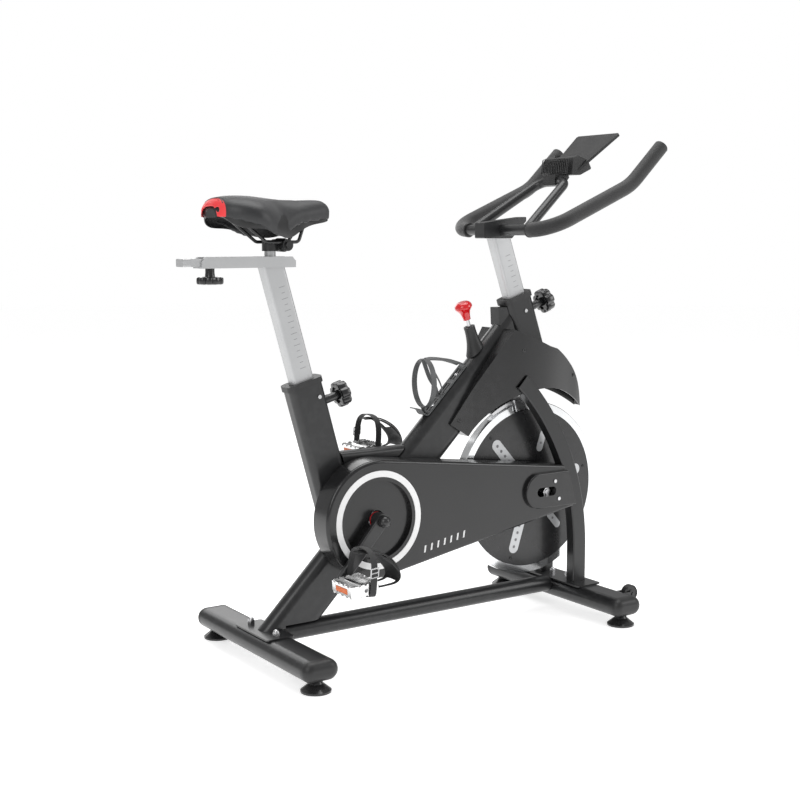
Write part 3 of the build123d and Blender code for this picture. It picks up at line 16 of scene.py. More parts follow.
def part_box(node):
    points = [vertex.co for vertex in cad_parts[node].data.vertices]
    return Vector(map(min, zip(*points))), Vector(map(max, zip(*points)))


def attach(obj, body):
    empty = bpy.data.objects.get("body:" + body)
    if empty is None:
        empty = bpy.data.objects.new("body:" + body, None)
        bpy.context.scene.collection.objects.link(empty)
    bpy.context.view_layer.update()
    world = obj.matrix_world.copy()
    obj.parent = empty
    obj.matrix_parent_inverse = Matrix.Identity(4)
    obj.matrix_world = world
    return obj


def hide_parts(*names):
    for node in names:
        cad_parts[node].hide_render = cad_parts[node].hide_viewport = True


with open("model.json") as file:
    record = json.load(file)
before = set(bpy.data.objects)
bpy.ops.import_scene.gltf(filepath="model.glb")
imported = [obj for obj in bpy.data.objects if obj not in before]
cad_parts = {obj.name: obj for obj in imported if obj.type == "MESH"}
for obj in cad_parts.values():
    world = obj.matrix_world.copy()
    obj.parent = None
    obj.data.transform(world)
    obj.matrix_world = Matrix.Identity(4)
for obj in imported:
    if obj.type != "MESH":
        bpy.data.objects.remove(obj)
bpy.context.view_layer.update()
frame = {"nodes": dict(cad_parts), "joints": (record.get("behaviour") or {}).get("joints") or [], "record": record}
LOG = logging.getLogger("spin_bike")

MM = 0.001
RIGHT, LEFT = -1, 1


# ---------------------------------------------------------------- places read from the frame
@lru_cache(maxsize=None)
def box_of(node: str) -> tuple[Vector, Vector]:
    """Corners of a CAD node's box, measured once.

    Args:
        node: the node's name.

    Returns:
        Lowest and highest corner in metres.
    """
    low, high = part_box(node)
    return Vector(low).freeze(), Vector(high).freeze()


def joint_point(name: str) -> Vector:
    """Point that a hinge of the frame turns about.

    Args:
        name: the joint's name in the record.

    Returns:
        The hinge point in metres.
    """
    return next(Vector(j["pos_m"]) for j in frame["joints"] if j["name"] == name)


def node_centre(name: str) -> Vector:
    """Centre of a CAD node's box."""
    low, high = box_of(name)
    return (low + high) / 2


def node_size(name: str) -> Vector:
    """Size of a CAD node's box."""
    low, high = box_of(name)
    return high - low


# ---------------------------------------------------------------- mesh tools
def from_mesh(name: str, mesh: bmesh.types.BMesh, smooth: bool = True) -> bpy.types.Object:
    """Turn a bmesh into a scene object.

    Args:
        name: the piece's name.
        mesh: the geometry, in metres in the row frame; it is freed here.
        smooth: whether faces shade smooth, with edges over 35 degrees kept sharp.

    Returns:
        The new object, linked to the scene.
    """
    bmesh.ops.remove_doubles(mesh, verts=mesh.verts, dist=1e-6)
    bmesh.ops.recalc_face_normals(mesh, faces=mesh.faces)
    data = bpy.data.meshes.new(name)
    mesh.to_mesh(data)
    mesh.free()
    piece = bpy.data.objects.new(name, data)
    bpy.context.scene.collection.objects.link(piece)
    if smooth:
        for face in data.polygons:
            face.use_smooth = True
        data.set_sharp_from_angle(angle=math.radians(35))
    return piece


def basis(axis: Vector, towards: Vector = Vector((1, 0, 0))) -> tuple[Vector, Vector, Vector]:
    """Right-handed frame whose third direction is an axis.

    Args:
        axis: the third direction.
        towards: roughly where the first direction points.

    Returns:
        Three unit vectors.
    """
    third = axis.normalized()
    if abs(third.dot(towards.normalized())) > 0.99:
        towards = Vector((0, 1, 0))
    first = (towards - third * towards.dot(third)).normalized()
    return first, third.cross(first), third


def add_lathe(mesh: bmesh.types.BMesh, origin: Vector, axis: Vector, profile: list[tuple[float, float]],
              steps: int = 48, lobe: tuple[int, float] = (0, 0.0)) -> None:
    """Revolve a profile about an axis, optionally with lobes.

    Args:
        mesh: bmesh to add to.
        origin: point on the axis.
        axis: direction of the axis.
        profile: (radius, height along the axis) pairs in metres.
        steps: sides round the axis.
        lobe: number of lobes and how deep they cut, as a share of the radius.
    """
    first, second, third = basis(axis)
    rings = []
    for radius, height in profile:
        ring = []
        for k in range(steps):
            turn = 2 * math.pi * k / steps
            wave = 1 - lobe[1] * (0.5 - 0.5 * math.cos(lobe[0] * turn)) ** 3
            reach = radius * (wave if radius > 0.6 * profile_width(profile) else 1)
            ring.append(mesh.verts.new(origin + third * height
                                       + (first * math.cos(turn) + second * math.sin(turn)) * reach))
        rings.append(ring)
    for low, high in zip(rings, rings[1:]):
        for k in range(steps):
            mesh.faces.new((low[k], low[(k + 1) % steps], high[(k + 1) % steps], high[k]))
    for ring, radius in ((rings[0], profile[0][0]), (rings[-1], profile[-1][0])):
        if radius > 1e-6:
            mesh.faces.new(ring)


def profile_width(profile: list[tuple[float, float]]) -> float:
    """Largest radius of a profile."""
    return max(radius for radius, _ in profile)


def add_tube(mesh: bmesh.types.BMesh, points: list[Vector], radius: float, steps: int = 16,
             flat: float = 1.0, up: Vector = Vector((0, 0, 1)), closed: bool = False) -> None:
    """Sweep a round or flattened section along points.

    Args:
        mesh: bmesh to add to.
        points: centreline.
        radius: half width of the section.
        steps: sides round the section.
        flat: height of the section as a share of its width.
        up: direction that the section's height keeps to.
        closed: whether the last point joins the first.
    """
    rings = []
    count = len(points)
    for k, point in enumerate(points):
        ahead = points[(k + 1) % count] if closed or k < count - 1 else points[k]
        behind = points[k - 1] if closed or k > 0 else points[k]
        run = (ahead - behind).normalized()
        wide = run.cross(up)
        wide = wide.normalized() if wide.length > 1e-4 else Vector((0, 1, 0))
        tall = wide.cross(run).normalized()
        rings.append([mesh.verts.new(point + wide * radius * math.cos(a) + tall * radius * flat * math.sin(a))
                      for a in (2 * math.pi * i / steps for i in range(steps))])
    pairs = list(zip(rings, rings[1:])) + ([(rings[-1], rings[0])] if closed else [])
    for low, high in pairs:
        for i in range(steps):
            mesh.faces.new((low[i], low[(i + 1) % steps], high[(i + 1) % steps], high[i]))
    if not closed:
        mesh.faces.new(rings[0])
        mesh.faces.new(rings[-1])


def add_strip(mesh: bmesh.types.BMesh, points: list[Vector], normals: list[Vector], width: float,
              thick: float, closed: bool = False) -> None:
    """Sweep a flat strip along points, its face turned to the normals.

    Args:
        mesh: bmesh to add to.
        points: centreline of the strip's inner face.
        normals: direction out of the strip's face at each point.
        width: width of the strip.
        thick: thickness of the strip, built outwards.
        closed: whether the last point joins the first.
    """
    rings = []
    count = len(points)
    edge = min(thick * 0.35, width * 0.2)
    for k, point in enumerate(points):
        ahead = points[(k + 1) % count] if closed or k < count - 1 else points[k]
        behind = points[k - 1] if closed or k > 0 else points[k]
        run = (ahead - behind).normalized()
        out = (normals[k] - run * normals[k].dot(run)).normalized()
        wide = run.cross(out) * (width / 2)
        tuck = wide.normalized() * edge
        rings.append([mesh.verts.new(point + offset) for offset in (
            -wide + out * edge, -wide + out * (thick - edge), -wide + tuck + out * thick,
            wide - tuck + out * thick, wide + out * (thick - edge), wide + out * edge,
            wide - tuck, -wide + tuck)])
    pairs = list(zip(rings, rings[1:])) + ([(rings[-1], rings[0])] if closed else [])
    for low, high in pairs:
        for i in range(8):
            mesh.faces.new((low[i], low[(i + 1) % 8], high[(i + 1) % 8], high[i]))
    if not closed:
        mesh.faces.new(rings[0])
        mesh.faces.new(rings[-1])


def add_slab(mesh: bmesh.types.BMesh, outline: list[Vector], lift: Vector, edge: float = 0.0) -> None:
    """Extrude a flat outline into a slab with a chamfered far edge.

    Args:
        mesh: bmesh to add to.
        outline: corners of the flat outline.
        lift: extrusion vector.
        edge: chamfer of the far face's rim.
    """
    centre = sum(outline, Vector()) / len(outline)
    up = lift.normalized()
    low = [mesh.verts.new(p) for p in outline]
    rows = [low]
    if edge > 0:
        rows.append([mesh.verts.new(p + lift - up * edge) for p in outline])
        rows.append([mesh.verts.new(p + lift + (centre - p).normalized() * edge) for p in outline])
    else:
        rows.append([mesh.verts.new(p + lift) for p in outline])
    count = len(outline)
    for below, above in zip(rows, rows[1:]):
        for i in range(count):
            mesh.faces.new((below[i], below[(i + 1) % count], above[(i + 1) % count], above[i]))
    mesh.faces.new(low)
    mesh.faces.new(rows[-1])


def smooth_line(points: list[Vector], per_span: int = 8, closed: bool = False) -> list[Vector]:
    """Points along a Catmull-Rom curve through the given ones.

    Args:
        points: points to pass through.
        per_span: how many pieces each span is cut into.
        closed: whether the curve joins its start.

    Returns:
        The points of the curve.
    """
    count = len(points)
    out = []
    for k in range(count if closed else count - 1):
        if closed:
            a, b, c, d = (points[(k + i) % count] for i in (-1, 0, 1, 2))
        else:
            a, b, c, d = (points[min(max(k + i, 0), count - 1)] for i in (-1, 0, 1, 2))
        for i in range(per_span):
            t = i / per_span
            out.append(0.5 * ((2 * b) + (c - a) * t + (2 * a - 5 * b + 4 * c - d) * t ** 2
                              + (3 * b - a - 3 * c + d) * t ** 3))
    if not closed:
        out.append(points[-1].copy())
    return out


def curve_value(knots: list[tuple[float, float]], at: float) -> float:
    """Smooth value between knots, by the same curve as smooth_line.

    Args:
        knots: (position, value) pairs in rising order of position.
        at: position to read.

    Returns:
        The value there.
    """
    at = min(max(at, knots[0][0]), knots[-1][0])
    k = max(i for i in range(len(knots) - 1) if knots[i][0] <= at + 1e-12)
    (x0, y0), (x1, y1) = knots[k], knots[k + 1]
    before = knots[k - 1] if k > 0 else (2 * x0 - x1, 2 * y0 - y1)
    after = knots[k + 2] if k + 2 < len(knots) else (2 * x1 - x0, 2 * y1 - y0)
    t = (at - x0) / (x1 - x0)
    slope0 = (y1 - before[1]) / (x1 - before[0]) * (x1 - x0)
    slope1 = (after[1] - y0) / (after[0] - x0) * (x1 - x0)
    return ((2 * t ** 3 - 3 * t ** 2 + 1) * y0 + (t ** 3 - 2 * t ** 2 + t) * slope0
            + (3 * t ** 2 - 2 * t ** 3) * y1 + (t ** 3 - t ** 2) * slope1)


def fit_out(piece: bpy.types.Object, body: str, slot: str, material: bpy.types.Material,
            *nodes: str) -> bpy.types.Object:
    """Give a piece its material and its body, and hide the CAD nodes that it stands for.

    Args:
        piece: the new object.
        body: CAD body that it moves with.
        slot: material slot of the record; not used.
        material: its material.
        nodes: CAD nodes that it stands for.

    Returns:
        The same piece.
    """
    if not piece.data.materials:
        piece.data.materials.append(material)
    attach(piece, body)
    if nodes:
        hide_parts(*nodes)
    LOG.info("built %s on %s", piece.name, body)
    return piece


# ---------------------------------------------------------------- shader groups
class Graph:
    """Small helper that wires the nodes of one tree."""

    def __init__(self, tree: bpy.types.NodeTree) -> None:
        """Keep the tree to build in."""
        self.tree = tree

    def node(self, kind: str, **values: object) -> bpy.types.Node:
        """Add a node.

        Args:
            kind: node type.
            values: attributes, or sockets when the name starts with in_.

        Returns:
            The node.
        """
        made = self.tree.nodes.new(kind)
        for key, value in values.items():
            if key.startswith("in_"):
                made.inputs[key[3:].replace("_", " ")].default_value = value
            else:
                setattr(made, key, value)
        return made

    def link(self, source: bpy.types.NodeSocket, target: bpy.types.NodeSocket) -> None:
        """Join two sockets."""
        self.tree.links.new(source, target)

    def math(self, operation: str, *values: object) -> bpy.types.NodeSocket:
        """Math node whose inputs are numbers or sockets.

        Args:
            operation: the math operation.
            values: numbers or sockets.

        Returns:
            The result's socket.
        """
        made = self.node("ShaderNodeMath", operation=operation)
        for socket, value in zip(made.inputs, values):
            if isinstance(value, bpy.types.NodeSocket):
                self.link(value, socket)
            else:
                socket.default_value = value
        return made.outputs[0]

    def ramp(self, source: bpy.types.NodeSocket, low: float, high: float, out_low: float = 0.0,
             out_high: float = 1.0) -> bpy.types.NodeSocket:
        """Map a range of a value onto another, clamped.

        Args:
            source: value to map.
            low: start of its range.
            high: end of its range.
            out_low: result at the start.
            out_high: result at the end.

        Returns:
            The mapped value's socket.
        """
        made = self.node("ShaderNodeMapRange", interpolation_type="SMOOTHSTEP")
        for key, value in (("From Min", low), ("From Max", high), ("To Min", out_low), ("To Max", out_high)):
            made.inputs[key].default_value = value
        self.link(source, made.inputs["Value"])
        return made.outputs["Result"]

    def blend(self, share: object, first: object, second: object, mode: str = "MIX") -> bpy.types.NodeSocket:
        """Mix two colours.

        Args:
            share: how much of the second, a number or a socket.
            first: colour or socket.
            second: colour or socket.
            mode: blend mode.

        Returns:
            The mixed colour's socket.
        """
        made = self.node("ShaderNodeMix", data_type="RGBA", blend_type=mode)
        for socket, value in ((made.inputs[0], share), (made.inputs[6], first), (made.inputs[7], second)):
            if isinstance(value, bpy.types.NodeSocket):
                self.link(value, socket)
            else:
                socket.default_value = value
        return made.outputs[2]


def new_group(name: str, inputs: dict[str, float], outputs: tuple[str, ...]) -> tuple[
        bpy.types.NodeTree, Graph, bpy.types.Node, bpy.types.Node]:
    """Start a shader node group with named float sockets.

    Args:
        name: the group's name.
        inputs: input names and their first values.
        outputs: output names.

    Returns:
        The tree, its graph helper, its input node and its output node.
    """
    tree = bpy.data.node_groups.new(name, "ShaderNodeTree")
    for key, value in inputs.items():
        socket = tree.interface.new_socket(key, in_out="INPUT", socket_type="NodeSocketFloat")
        socket.default_value = value
    for key in outputs:
        tree.interface.new_socket(key, in_out="OUTPUT", socket_type="NodeSocketFloat")
    graph = Graph(tree)
    return tree, graph, graph.node("NodeGroupInput"), graph.node("NodeGroupOutput")


def grain_group() -> bpy.types.NodeTree:
    """Fine moulded or sprayed grain: a height, and a slow mottling of the gloss."""
    tree, graph, source, target = new_group(
        "surface_grain", {"Grain Scale": 900.0, "Mottle Scale": 9.0}, ("Height", "Mottle"))
    place = graph.node("ShaderNodeTexCoord").outputs["Object"]
    fine = graph.node("ShaderNodeTexNoise", in_Detail=3.0, in_Roughness=0.6)
    slow = graph.node("ShaderNodeTexNoise", in_Detail=4.0, in_Roughness=0.55)
    for noise, key in ((fine, "Grain Scale"), (slow, "Mottle Scale")):
        graph.link(place, noise.inputs["Vector"])
        graph.link(source.outputs[key], noise.inputs["Scale"])
    graph.link(fine.outputs["Fac"], target.inputs["Height"])
    graph.link(graph.ramp(slow.outputs["Fac"], 0.3, 0.7), target.inputs["Mottle"])
    return tree


def worn_and_lit_edge_group() -> bpy.types.NodeTree:
    """Rubbed edges with a painted edge highlight: a mask on convex edges, broken up by noise."""
    tree, graph, source, target = new_group("edge_wear_and_painted_highlight", {"Amount": 0.5, "Break Up": 60.0}, ("Mask",))
    convex = graph.ramp(graph.node("ShaderNodeNewGeometry").outputs["Pointiness"], 0.52, 0.6)
    noise = graph.node("ShaderNodeTexNoise", in_Detail=5.0)
    graph.link(graph.node("ShaderNodeTexCoord").outputs["Object"], noise.inputs["Vector"])
    graph.link(source.outputs["Break Up"], noise.inputs["Scale"])
    broken = graph.math("MULTIPLY", convex, graph.ramp(noise.outputs["Fac"], 0.4, 0.65))
    graph.link(graph.math("MULTIPLY", broken, source.outputs["Amount"]), target.inputs["Mask"])
    return tree


def dust_group() -> bpy.types.NodeTree:
    """Light dust that lies on faces turned up."""
    tree, graph, source, target = new_group("lying_dust", {"Amount": 0.3, "Patch Scale": 25.0}, ("Mask",))
    split = graph.node("ShaderNodeSeparateXYZ")
    graph.link(graph.node("ShaderNodeNewGeometry").outputs["Normal"], split.inputs[0])
    upward = graph.ramp(split.outputs["Z"], 0.35, 1.0)
    noise = graph.node("ShaderNodeTexNoise", in_Detail=6.0, in_Roughness=0.7)
    graph.link(graph.node("ShaderNodeTexCoord").outputs["Object"], noise.inputs["Vector"])
    graph.link(source.outputs["Patch Scale"], noise.inputs["Scale"])
    patchy = graph.math("MULTIPLY", upward, graph.ramp(noise.outputs["Fac"], 0.35, 0.75))
    graph.link(graph.math("MULTIPLY", patchy, source.outputs["Amount"]), target.inputs["Mask"])
    return tree


def lines_group() -> bpy.types.NodeTree:
    """Fine parallel lines along one direction, as brushing or turning leaves."""
    tree, graph, source, target = new_group(
        "drawn_lines", {"Along X": 1.0, "Along Y": 1.0, "Along Z": 1.0, "Line Scale": 400.0}, ("Height",))
    stretch = graph.node("ShaderNodeVectorMath", operation="MULTIPLY")
    join = graph.node("ShaderNodeCombineXYZ")
    for k, key in enumerate(("Along X", "Along Y", "Along Z")):
        graph.link(source.outputs[key], join.inputs[k])
    graph.link(graph.node("ShaderNodeTexCoord").outputs["Object"], stretch.inputs[0])
    graph.link(join.outputs[0], stretch.inputs[1])
    noise = graph.node("ShaderNodeTexNoise", in_Detail=4.0)
    graph.link(stretch.outputs[0], noise.inputs["Vector"])
    graph.link(source.outputs["Line Scale"], noise.inputs["Scale"])
    graph.link(noise.outputs["Fac"], target.inputs["Height"])
    return tree


def weave_group() -> bpy.types.NodeTree:
    """Plain over-and-under weave of a webbing strap."""
    tree, graph, source, target = new_group("strap_weave", {"Thread Scale": 900.0}, ("Height",))
    split = graph.node("ShaderNodeSeparateXYZ")
    graph.link(graph.node("ShaderNodeTexCoord").outputs["Object"], split.inputs[0])
    waves = []
    for pair in (("X", "Z"), ("Y", "Z")):
        total = graph.math("ADD", split.outputs[pair[0]], split.outputs[pair[1]])
        waves.append(graph.math("SINE", graph.math("MULTIPLY", total, source.outputs["Thread Scale"])))
    product = graph.math("MULTIPLY", waves[0], waves[1])
    graph.link(graph.math("MULTIPLY_ADD", product, 0.5, 0.5), target.inputs["Height"])
    return tree


# ---------------------------------------------------------------- finishes
class Pattern(Enum):
    """What breaks up a finish at close range."""

    GRAIN = "grain"
    BRUSHED = "brushed"
    WEAVE = "weave"


@dataclass(frozen=True)
class Finish:
    """One finish of the bike, and how its material is made."""

    name: str
    colour: tuple[float, float, float]
    roughness: float
    metallic: float = 0.0
    coat: float = 0.0
    pattern: Pattern = Pattern.GRAIN
    scale: float = 900.0
    bump: float = 0.05
    depth: float = 0.0002
    mottle: float = 0.03
    # Edge mask strength and its colour: convex edges take this colour, partly as rubbed finish, partly as a
    # painted edge highlight.
    wear_and_lit_edges: float = 0.05
    worn_and_lit_colour: tuple[float, float, float] = (0.12, 0.12, 0.125)
    dust: float = 0.04
    lines: tuple[float, float, float] = (1.0, 1.0, 1.0)
    sheen: float = 0.0
    specular: float = 0.5

    def material(self) -> bpy.types.Material:
        """Build the material.

        Returns:
            The finished material.
        """
        made = bpy.data.materials.new(self.name)
        made.use_nodes = True
        graph = Graph(made.node_tree)
        shader = made.node_tree.nodes["Principled BSDF"]
        for key, value in (("Coat Weight", self.coat), ("Coat Roughness", 0.12), ("Metallic", self.metallic),
                           ("Sheen Weight", self.sheen), ("Specular IOR Level", self.specular)):
            shader.inputs[key].default_value = value
        grain = self._group(graph, "surface_grain", {"Grain Scale": self.scale})
        wear_and_lit_edges = self._group(graph, "edge_wear_and_painted_highlight", {"Amount": self.wear_and_lit_edges})
        dust = self._group(graph, "lying_dust", {"Amount": self.dust})
        dark = (*[c * 0.93 for c in self.colour], 1)
        base = self.base_colour(graph, grain.outputs["Mottle"], dark)
        # Convex edges blend to the worn colour: partly rubbed finish, partly a painted edge highlight.
        rubbed_and_lit = graph.blend(wear_and_lit_edges.outputs["Mask"], base, (*self.worn_and_lit_colour, 1))
        dusty = graph.blend(dust.outputs["Mask"], rubbed_and_lit, (0.55, 0.54, 0.52, 1))
        graph.link(dusty, shader.inputs["Base Color"])
        gloss = graph.math("MULTIPLY_ADD", grain.outputs["Mottle"], self.mottle, self.roughness)
        gloss = graph.math("MULTIPLY_ADD", dust.outputs["Mask"], 0.4, gloss)
        graph.link(gloss, shader.inputs["Roughness"])
        height = grain.outputs["Height"]
        if self.pattern is Pattern.BRUSHED:
            height = self._group(graph, "drawn_lines", dict(zip(
                ("Along X", "Along Y", "Along Z"), self.lines))).outputs["Height"]
        if self.pattern is Pattern.WEAVE:
            height = self._group(graph, "strap_weave", {"Thread Scale": self.scale}).outputs["Height"]
        bump = graph.node("ShaderNodeBump", in_Strength=self.bump, in_Distance=self.depth)
        graph.link(height, bump.inputs["Height"])
        graph.link(bump.outputs["Normal"], shader.inputs["Normal"])
        return made

    def base_colour(self, graph: Graph, mottle: bpy.types.NodeSocket,
                    dark: tuple[float, float, float, float]) -> bpy.types.NodeSocket:
        """Colour before wear, painted edge highlight and dust.

        Args:
            graph: the material's graph.
            mottle: slow mottling mask.
            dark: the darker of the two mottled colours.

        Returns:
            The colour's socket.
        """
        return graph.blend(mottle, (*self.colour, 1), dark)

    @staticmethod
    def _group(graph: Graph, name: str, values: dict[str, float]) -> bpy.types.Node:
        """Place a shared group in a material.

        Args:
            graph: the material's graph.
            name: the group's name.
            values: its input values.

        Returns:
            The group node.
        """
        made = graph.node("ShaderNodeGroup", node_tree=bpy.data.node_groups[name])
        for key, value in values.items():
            made.inputs[key].default_value = value
        return made


FINISHES: dict[str, Finish] = {finish.name: finish for finish in (
    Finish("frame_paint", (0.014, 0.0143, 0.015), 0.3, coat=0.1, scale=700, bump=0.06, dust=0.0),
    Finish("crank_paint", (0.020, 0.020, 0.021), 0.28, coat=0.2, scale=600, bump=0.05, dust=0.02),
    Finish("disc_paint", (0.014, 0.014, 0.015), 0.26, coat=0.2, scale=500, bump=0.04, dust=0.0),
    Finish("post_silver", (0.50, 0.505, 0.51), 0.34, metallic=0.55, scale=800, bump=0.04, mottle=0.04,
           worn_and_lit_colour=(0.5, 0.5, 0.5), dust=0.0),
    Finish("flywheel_steel", (0.82, 0.83, 0.84), 0.1, metallic=1.0, pattern=Pattern.BRUSHED,
           lines=(0.4, 6.0, 0.4), bump=0.03, depth=0.0001, worn_and_lit_colour=(0.7, 0.7, 0.7), dust=0.02),
    Finish("bearing_steel", (0.55, 0.55, 0.56), 0.3, metallic=1.0, pattern=Pattern.BRUSHED,
           lines=(1.0, 5.0, 1.0), worn_and_lit_colour=(0.6, 0.6, 0.6)),
    Finish("zinc_steel", (0.62, 0.62, 0.63), 0.24, metallic=1.0, worn_and_lit_colour=(0.7, 0.7, 0.7)),
    Finish("pulley_alloy", (0.5, 0.5, 0.51), 0.35, metallic=1.0, pattern=Pattern.BRUSHED,
           lines=(1.0, 5.0, 1.0), worn_and_lit_colour=(0.6, 0.6, 0.6)),
    Finish("pedal_alloy", (0.86, 0.86, 0.86), 0.16, metallic=1.0, mottle=0.12, scale=300, bump=0.08,
           worn_and_lit_colour=(0.75, 0.75, 0.75)),
    Finish("cover_plastic", (0.013, 0.013, 0.0135), 0.22, coat=0.12, scale=1100, bump=0.05, dust=0.0),
    Finish("white_trim", (0.86, 0.86, 0.86), 0.25, coat=0.3, worn_and_lit_colour=(0.8, 0.8, 0.8), dust=0.0),
    Finish("black_plastic", (0.015, 0.015, 0.0155), 0.42, scale=1300, bump=0.12, dust=0.03),
    Finish("cage_plastic", (0.085, 0.088, 0.09), 0.42, scale=1300, bump=0.1, dust=0.03),
    Finish("knob_plastic", (0.010, 0.010, 0.011), 0.2, coat=0.4, scale=700, bump=0.03, dust=0.02),
    Finish("foot_plastic", (0.012, 0.012, 0.013), 0.22, coat=0.3, scale=700, bump=0.03, dust=0.03),
    Finish("wheel_plastic", (0.014, 0.014, 0.015), 0.35, scale=700, bump=0.05, dust=0.05),
    Finish("brake_red", (0.60, 0.006, 0.010), 0.16, coat=0.6, scale=500, bump=0.02,
           worn_and_lit_colour=(0.5, 0.05, 0.05), dust=0.0),
    Finish("belt_rubber", (0.015, 0.015, 0.015), 0.6, scale=900, bump=0.2),
    Finish("grip_foam", (0.013, 0.013, 0.0135), 0.62, scale=1500, bump=0.35, depth=0.0005, sheen=0.25),
    Finish("reflector_amber", (0.75, 0.17, 0.03), 0.2, coat=0.6, scale=400, bump=0.05,
           worn_and_lit_colour=(0.6, 0.2, 0.05), dust=0.0),
    Finish("decal_silver", (0.60, 0.61, 0.62), 0.3, metallic=0.5, scale=900, bump=0.02,
           worn_and_lit_colour=(0.4, 0.4, 0.4), dust=0.0),
    Finish("print_white", (0.78, 0.78, 0.78), 0.4, bump=0.02, worn_and_lit_colour=(0.5, 0.5, 0.5), dust=0.0),
    Finish("strap_webbing", (0.02, 0.02, 0.021), 0.7, pattern=Pattern.WEAVE, scale=2600, bump=0.6,
           depth=0.0004, sheen=0.2),
    Finish("scale_ink", (0.22, 0.22, 0.23), 0.5, bump=0.02, dust=0.0),
    Finish("stitch_thread", (0.05, 0.05, 0.055), 0.7, bump=0.1, sheen=0.3, dust=0.0),
)}


@dataclass(frozen=True)
class SaddleFinish(Finish):
    """Grained vinyl whose tail is red: the colour changes across a bowed line."""

    red: tuple[float, float, float] = (0.78, 0.035, 0.04)
    edge_x: float = 0.0
    bow: float = 0.0

    def base_colour(self, graph: Graph, mottle: bpy.types.NodeSocket,
                    dark: tuple[float, float, float, float]) -> bpy.types.NodeSocket:
        """Vinyl colour, red behind the seam line."""
        black = super().base_colour(graph, mottle, dark)
        split = graph.node("ShaderNodeSeparateXYZ")
        graph.link(graph.node("ShaderNodeTexCoord").outputs["Object"], split.inputs[0])
        square = graph.math("MULTIPLY", split.outputs["Y"], split.outputs["Y"])
        line = graph.math("MULTIPLY_ADD", square, self.bow, self.edge_x)
        ahead = graph.math("SUBTRACT", split.outputs["X"], line)
        return graph.blend(graph.ramp(ahead, -0.0003, 0.0003), (*self.red, 1), black)


def build_materials() -> dict[str, bpy.types.Material]:
    """Make the shared groups and every finish.

    Returns:
        Materials by slot name.
    """
    for make in (grain_group, worn_and_lit_edge_group, dust_group, lines_group, weave_group):
        make()
    materials = {name: finish.material() for name, finish in FINISHES.items()}
    materials["saddle_cover"] = SaddleFinish(
        "saddle_cover", (0.018, 0.0185, 0.020), 0.44, scale=1100, bump=0.22, depth=0.0003,
        mottle=0.05, dust=0.0, sheen=0.08, edge_x=box_of("saddle_pad")[0].x + Saddle.seam_back,
        bow=Saddle.seam_bow).material()
    return materials


def dress_frame(materials: dict[str, bpy.types.Material]) -> None:
    """Put the materials on the CAD nodes.

    Args:
        materials: materials by slot name.
    """
    for entry in frame["record"]["subparts"]:
        node = frame["nodes"][entry["node"]]
        for slot in node.material_slots:
            slot.material = materials[entry["material_slot"]]
    LOG.info("dressed %d nodes", len(frame["nodes"]))


